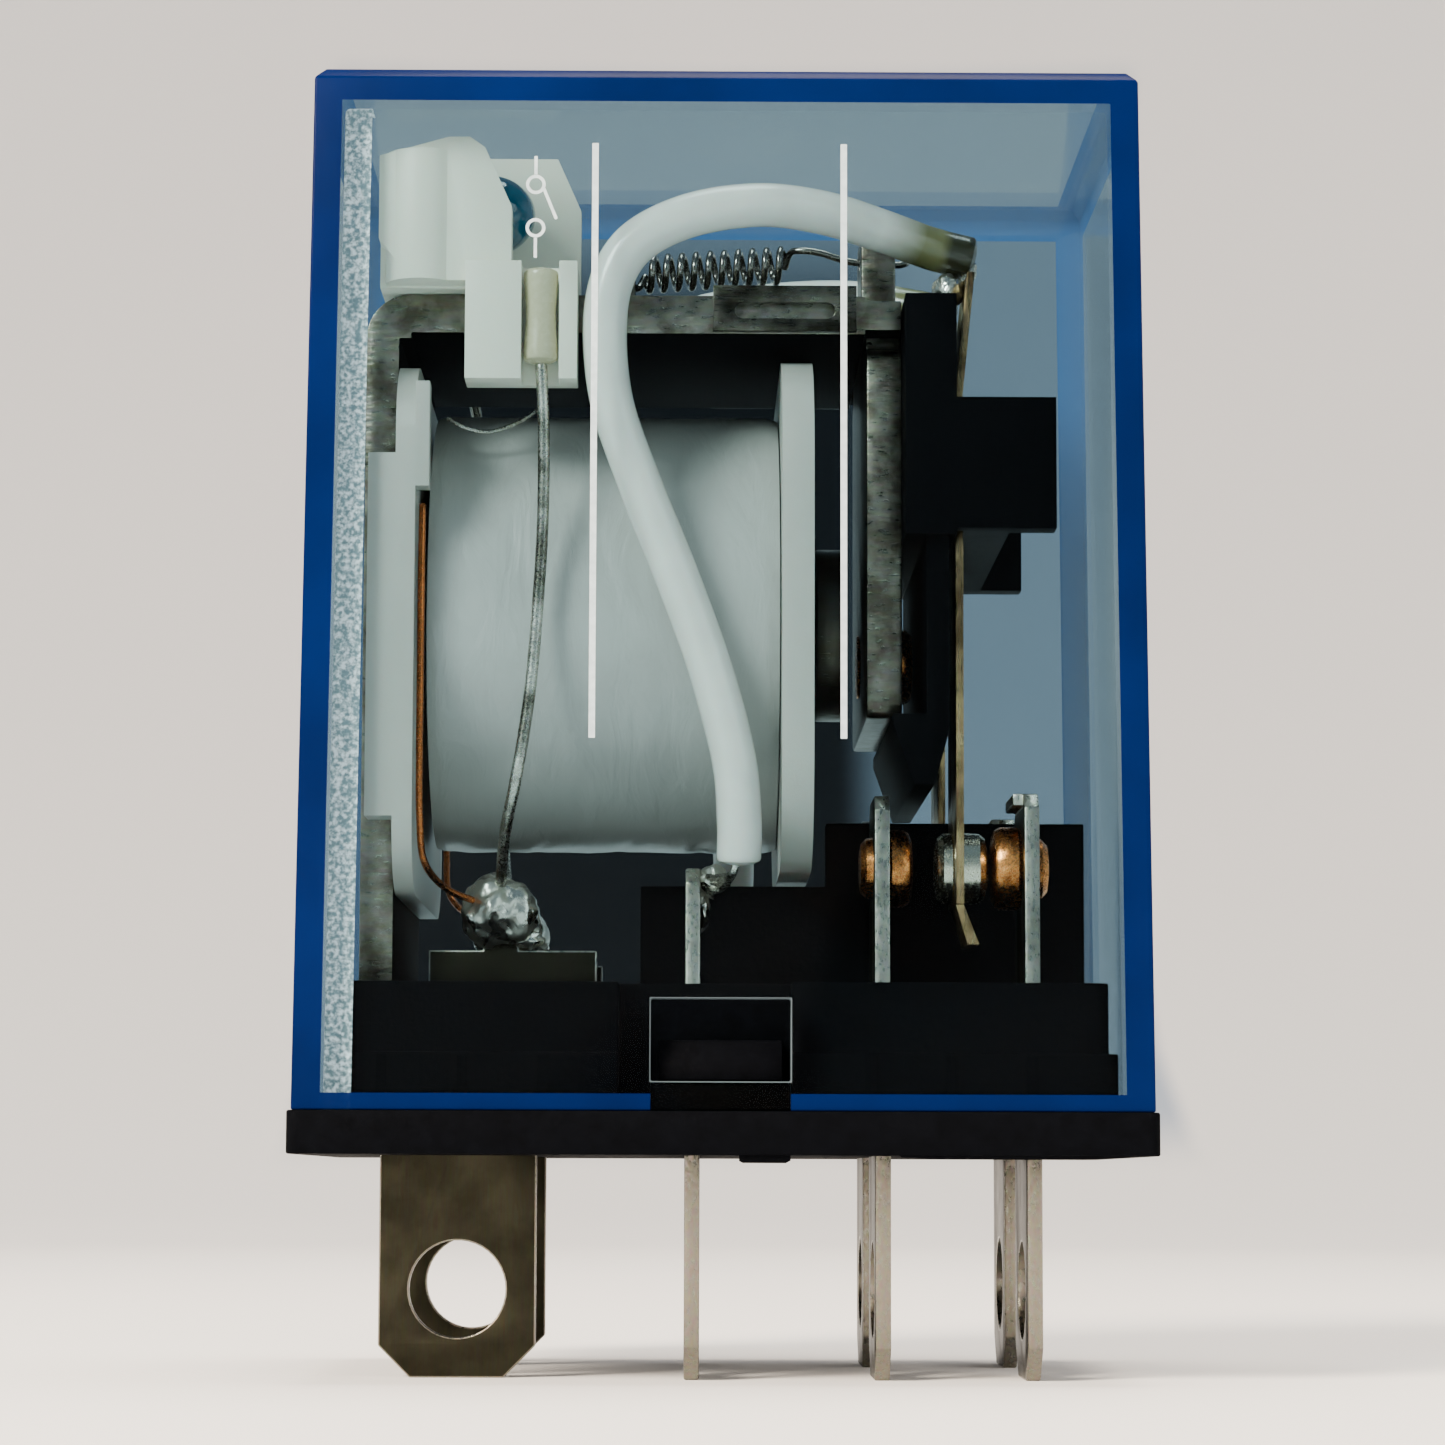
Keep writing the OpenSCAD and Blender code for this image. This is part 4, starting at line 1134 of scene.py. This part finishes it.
class RELAY_OT_leads(Operator):
    """Lays the two white insulated leads from the contact springs to the common blades"""

    bl_idname = "relay.leads"
    bl_label = "Insulated Leads"

    def execute(self, context):
        sizes, m = context.scene.relay_sizes, finished(context.scene)
        for end in ENDS:
            route = mirrored(LEAD_ROUTE, end)
            path = smooth_route(route, 10)
            bm = bmesh.new()
            along = bm.verts.layers.float.new("along")

            def thick(t):
                return sizes.lead / 2 * (1 - 0.05 * abs(noise.noise(Vector((t * 9, 1.7, 0)))))

            sweep(bm, path, thick, 28, along)
            # bare strands at each end, tinned, that run into the solder
            side = -1 if end == "front" else 1
            for dy, dz in ((0, 0), (0.22, 0.12), (-0.2, 0.16), (0.05, -0.24)):
                upper = (
                    (8.15, 5 + dy * 0.6, 30.35 + dz * 0.5), (8.45, 5 + dy, 30.0 + dz * 0.5),
                    (8.0, 5 + dy, 29.45 + dz * 0.5),
                )
                lower = (
                    (0.45, 8.2 + dy * 0.5, 9.8), (0.3, 7.9 + dy, 9.2), (-0.1, 7.1 + dy, 9.0 + dz),
                    (-0.5, 6.4 + dy, 9.05 + dz),
                )
                for strand in (upper, lower):
                    bare = smooth_route([(x, side * y, z) for x, y, z in strand], 5)
                    sweep(bm, bare, 0.13 * MM, 10, None, 1)
            made = add_object(f"lead_{end}", bm, [m["insulation"], m["tinned"]])
            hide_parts(f"lead_wire_{end}")
            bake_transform(made)
        return {"FINISHED"}


class RELAY_OT_coil_wires(Operator):
    """Lays the enamelled coil ends and the tinned wires of the indicator"""

    bl_idname = "relay.coil_wires"
    bl_label = "Coil and Lamp Wires"

    def execute(self, context):
        sizes, m = context.scene.relay_sizes, finished(context.scene)
        for end in ENDS:
            bm = bmesh.new()
            sweep(bm, smooth_route(mirrored(COIL_LEAD_ROUTE, end), 8), sizes.fine / 2, 12)
            sweep(bm, smooth_route(mirrored(STRAND_ROUTE, end), 8), sizes.fine * 0.3, 10, None, 1)
            made = add_object(f"coil_end_{end}", bm, [m["enamel"], m["tinned"]])
            settle(made, "copper_wire", f"coil_lead_{end}")
        for name, route in (("resistor_lead", RESISTOR_ROUTE), ("led_lead", LED_ROUTE)):
            bm = bmesh.new()
            sweep(bm, smooth_route(route, 8), sizes.bare / 2, 14)
            settle(add_object(name + "_wire", bm, [m["tinned"]]), "tinned_wire", name)
        return {"FINISHED"}


class RELAY_OT_solder(Operator):
    """Sets the solder drops on the coil blades and the fillets on the common blades"""

    bl_idname = "relay.solder"
    bl_label = "Solder Joints"

    def execute(self, context):
        m = finished(context.scene)
        for number, end in enumerate(ENDS):
            node = f"coil_solder_{end}"
            low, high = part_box(node)
            centre = (low + high) / 2
            r = (high.z - low.z) / 2
            bm = bmesh.new()
            blob(bm, centre, (r * 1.06, r * 0.95, r * 1.02), 0.16, 1.3 + number * 4, level=5)
            # the foot of the drop runs out along the tab
            foot = centre + Vector((0.5 * MM, 0, -0.85 * MM))
            blob(bm, foot, (1.15 * MM, 0.55 * MM, 0.5 * MM), 0.2, 6.2)
            settle(add_object(f"coil_joint_{end}", bm, [m["solder"]]), "solder", node)
            node = f"common_solder_{end}"
            low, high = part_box(node)
            centre = (low + high) / 2
            side = -1 if end == "front" else 1
            bm = bmesh.new()
            blob(bm, centre, (0.58 * MM, 0.8 * MM, 0.6 * MM), 0.2, 2.4)
            foot = centre + Vector((-0.35 * MM, -side * 0.5 * MM, -0.9 * MM))
            blob(bm, foot, (0.3 * MM, 0.7 * MM, 0.8 * MM), 0.25, 5)
            settle(add_object(f"common_joint_{end}", bm, [m["solder"]]), "solder", node)
        return {"FINISHED"}


class RELAY_OT_indicator(Operator):
    """Builds the lamp, its cream holder and the resistor in the holder's groove"""

    bl_idname = "relay.indicator"
    bl_label = "Indicator"

    def execute(self, context):
        m = finished(context.scene)
        bm = merged("led_holder", 0.1 * MM, 2, 35)
        settle(add_object("lamp_holder", bm, [m["cream"]]), "cream_plastic", "led_holder")
        low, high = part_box("led")
        r = (high.z - low.z) / 2
        centre = (0, (low.y + high.y) / 2, (low.z + high.z) / 2)
        base = low.x
        dome = high.x - r
        profile = [
            (0, base), (r * 0.97, base), (r, base + 0.1 * MM), (r, base + 0.55 * MM),
            (r * 0.9, base + 0.65 * MM),
        ]
        profile += [
            (r * 0.9 * math.cos(a), dome + r * math.sin(a))
            for a in (math.pi / 2 * k / 14 for k in range(14))
        ]
        profile += [(0, dome + r)]
        bm = bmesh.new()
        lathe(bm, profile, centre, 40)
        settle(add_object("lamp_dome", bm, [m["lamp"]]), "led_lens", "led")
        low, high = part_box("resistor")
        centre = (low + high) / 2
        r = (high.x - low.x) / 2
        half = (high.z - low.z) / 2
        bm = bmesh.new()
        rings = 24
        path = [
            Vector((centre.x, centre.y, centre.z + half * (1 - 2 * k / rings))) for k in range(rings + 1)
        ]
        path = path[1:-1]
        sweep(bm, path, lambda t: r * (1 - 0.14 * math.sin(math.pi * t) ** 2), 28)
        settle(add_object("resistor_body", bm, [m["resistor"]]), "resistor_coat", "resistor")
        return {"FINISHED"}


class RELAY_OT_stage(Operator):
    """Sets a pale floor that curves up all round, with a painted shadow behind, soft lights and the camera
    """

    bl_idname = "relay.stage"
    bl_label = "Stage"

    def execute(self, context):
        scene = context.scene
        floor_z = CAD_BOX[0].z
        made, tree, coords = new_material("pale_floor_painted_shadow")
        # pale matt paint: an even off-white with the faintest roller texture
        cloud = add(tree, "ShaderNodeTexNoise", {"Vector": coords, "Scale": 6.0, "Detail": 2.0})
        tone = add(tree, "ShaderNodeMix", {
            0: cloud, 6: (0.86, 0.86, 0.87, 1), 7: (0.92, 0.92, 0.92, 1),
        }, data_type="RGBA")
        # painted shadow: behind the relay the floor is painted blue-grey, and nearly black in the middle,
        # for the shadow the relay's insides would cast close behind them, so that the clear walls have
        # something deep behind them; the shade widens with height, as the wall leans back
        split = add(tree, "ShaderNodeSeparateXYZ", {0: coords})
        reach = add(
            tree, "ShaderNodeMath", {0: split.outputs["Z"], 1: 0.309, 2: 0.1467}, operation="MULTIPLY_ADD"
        )
        aside = add(tree, "ShaderNodeMath", {0: split.outputs["X"], 1: reach}, operation="DIVIDE")
        behind = add(tree, "ShaderNodeMath", {0: split.outputs["Y"], 1: 0.3}, operation="GREATER_THAN")
        painted_shadow_tone = tone.outputs[2]
        for left, right, low, high, deep in (
            ((-0.375, -0.345), (0.43, 0.455), (0.0, 0.01), (0.238, 0.253), (0.42, 0.49, 0.6, 1)),
            ((-0.36, -0.27), (0.15, 0.235), (0.0, 0.02), (0.17, 0.215), (0.018, 0.02, 0.024, 1)),
        ):
            inside = behind.outputs[0]
            for value, edge, rising in (
                (aside.outputs[0], left, True), (aside.outputs[0], right, False),
                (split.outputs["Z"], low, True), (split.outputs["Z"], high, False),
            ):
                ramp = add(tree, "ShaderNodeMapRange", {
                    "Value": value, "From Min": edge[0], "From Max": edge[1],
                    "To Min": 0.0 if rising else 1.0, "To Max": 1.0 if rising else 0.0,
                }, interpolation_type="SMOOTHSTEP")
                inside = add(tree, "ShaderNodeMath", {0: inside, 1: ramp}, operation="MULTIPLY").outputs[0]
            painted_shadow_tone = add(tree, "ShaderNodeMix", {0: inside, 6: painted_shadow_tone, 7: deep}, data_type="RGBA").outputs[2]
        bsdf = add(tree, "ShaderNodeBsdfPrincipled", {
            "Base Color": painted_shadow_tone, "Roughness": 0.9, "Specular IOR Level": 0.02,
        })
        add(tree, "ShaderNodeOutputMaterial", {"Surface": bsdf})
        # a flat disc, then a quarter of a circle up all round
        flat, bend, steps, around = 0.3, 0.6, 16, 96
        profile = [(0.0, 0.0), (flat, 0.0)]
        for k in range(1, steps + 1):
            a = math.pi / 2 * k / steps
            profile.append((flat + bend * math.sin(a), bend - bend * math.cos(a)))
        bm = bmesh.new()
        rings = []
        for r, z in profile:
            turn = [math.tau * k / around for k in range(around if r else 1)]
            rings.append([bm.verts.new((r * math.cos(a), r * math.sin(a), floor_z + z)) for a in turn])
        for a, b in zip(rings, rings[1:]):
            for k in range(around):
                n = (k + 1) % around
                bm.faces.new(list(dict.fromkeys((a[k % len(a)], b[k], b[n], a[n % len(a)]))))
        for face in bm.faces:
            face.smooth = True
        mesh = bpy.data.meshes.new("floor")
        bm.to_mesh(mesh)
        bm.free()
        mesh.materials.append(made)
        floor = bpy.data.objects.new("floor", mesh)
        scene.collection.objects.link(floor)

        world = bpy.data.worlds.new("studio")
        world.use_nodes = True
        sky = world.node_tree.nodes["Background"].inputs
        sky["Color"].default_value = (0.98, 0.97, 0.98, 1)
        sky["Strength"].default_value = 0.62
        scene.world = world

        middle = Vector((0, 0, 0.014))
        for name, place, size, power, tint in (
            ("key", (-0.3, -0.34, 0.3), 0.2, 9.0, (1.0, 0.84, 0.66)),
            ("fill", (0.34, -0.3, 0.16), 0.26, 0.8, (1.0, 0.86, 0.7)),
            ("top", (0.02, 0.04, 0.42), 0.22, 2.2, (1.0, 0.86, 0.7)),
        ):
            light = bpy.data.lights.new(name, "AREA")
            light.shape = "DISK"
            light.size = size
            light.energy = power
            light.color = tint
            lamp = bpy.data.objects.new(name, light)
            lamp.location = place
            lamp.rotation_euler = (middle - Vector(place)).to_track_quat("-Z", "Y").to_euler()
            scene.collection.objects.link(lamp)

        lens = bpy.data.cameras.new("view")
        lens.lens = 105.8
        lens.sensor_width = 36
        lens.clip_start = 0.01
        lens.clip_end = 10
        camera = bpy.data.objects.new("view", lens)
        scene.collection.objects.link(camera)
        yaw, pitch, roll = (math.radians(a) for a in (0.51, 6.19, 0.18))
        camera.location = Vector((-1.29, -146.95, -0.89)) * MM
        turn = Matrix.Rotation(-yaw, 4, "Z") @ Matrix.Rotation(math.pi / 2 + pitch, 4, "X")
        camera.rotation_euler = (turn @ Matrix.Rotation(roll, 4, "Z")).to_euler()
        scene.camera = camera
        return {"FINISHED"}


OPERATORS = (
    RELAY_OT_cover, RELAY_OT_base, RELAY_OT_terminals, RELAY_OT_contacts, RELAY_OT_magnet,
    RELAY_OT_bobbin, RELAY_OT_coil, RELAY_OT_armature, RELAY_OT_return_spring, RELAY_OT_leads,
    RELAY_OT_coil_wires, RELAY_OT_solder, RELAY_OT_indicator, RELAY_OT_stage,
)


class RELAY_PT_panel(Panel):
    """Lists the sizes, the colours and the pieces of the relay"""

    bl_idname = "RELAY_PT_panel"
    bl_label = "Relay"
    bl_space_type = "VIEW_3D"
    bl_region_type = "UI"
    bl_category = "Relay"

    def draw(self, context):
        for title, group in (("Sizes", context.scene.relay_sizes), ("Colours", context.scene.relay_colours)):
            box = self.layout.box()
            box.label(text=title)
            for name in group.bl_rna.properties.keys():
                if name not in ("rna_type", "name"):
                    box.prop(group, name)
        for kind in OPERATORS:
            self.layout.operator(kind.bl_idname)


def register():
    for kind in (RelaySizes, RelayColours, *OPERATORS, RELAY_PT_panel):
        bpy.utils.register_class(kind)
    bpy.types.Scene.relay_sizes = PointerProperty(type=RelaySizes)
    bpy.types.Scene.relay_colours = PointerProperty(type=RelayColours)


def unregister():
    del bpy.types.Scene.relay_sizes
    del bpy.types.Scene.relay_colours
    for kind in reversed((RelaySizes, RelayColours, *OPERATORS, RELAY_PT_panel)):
        bpy.utils.unregister_class(kind)


def main():
    register()
    for kind in OPERATORS:
        group, name = kind.bl_idname.split(".")
        getattr(getattr(bpy.ops, group), name)()


if __name__ == "__main__":
    main()
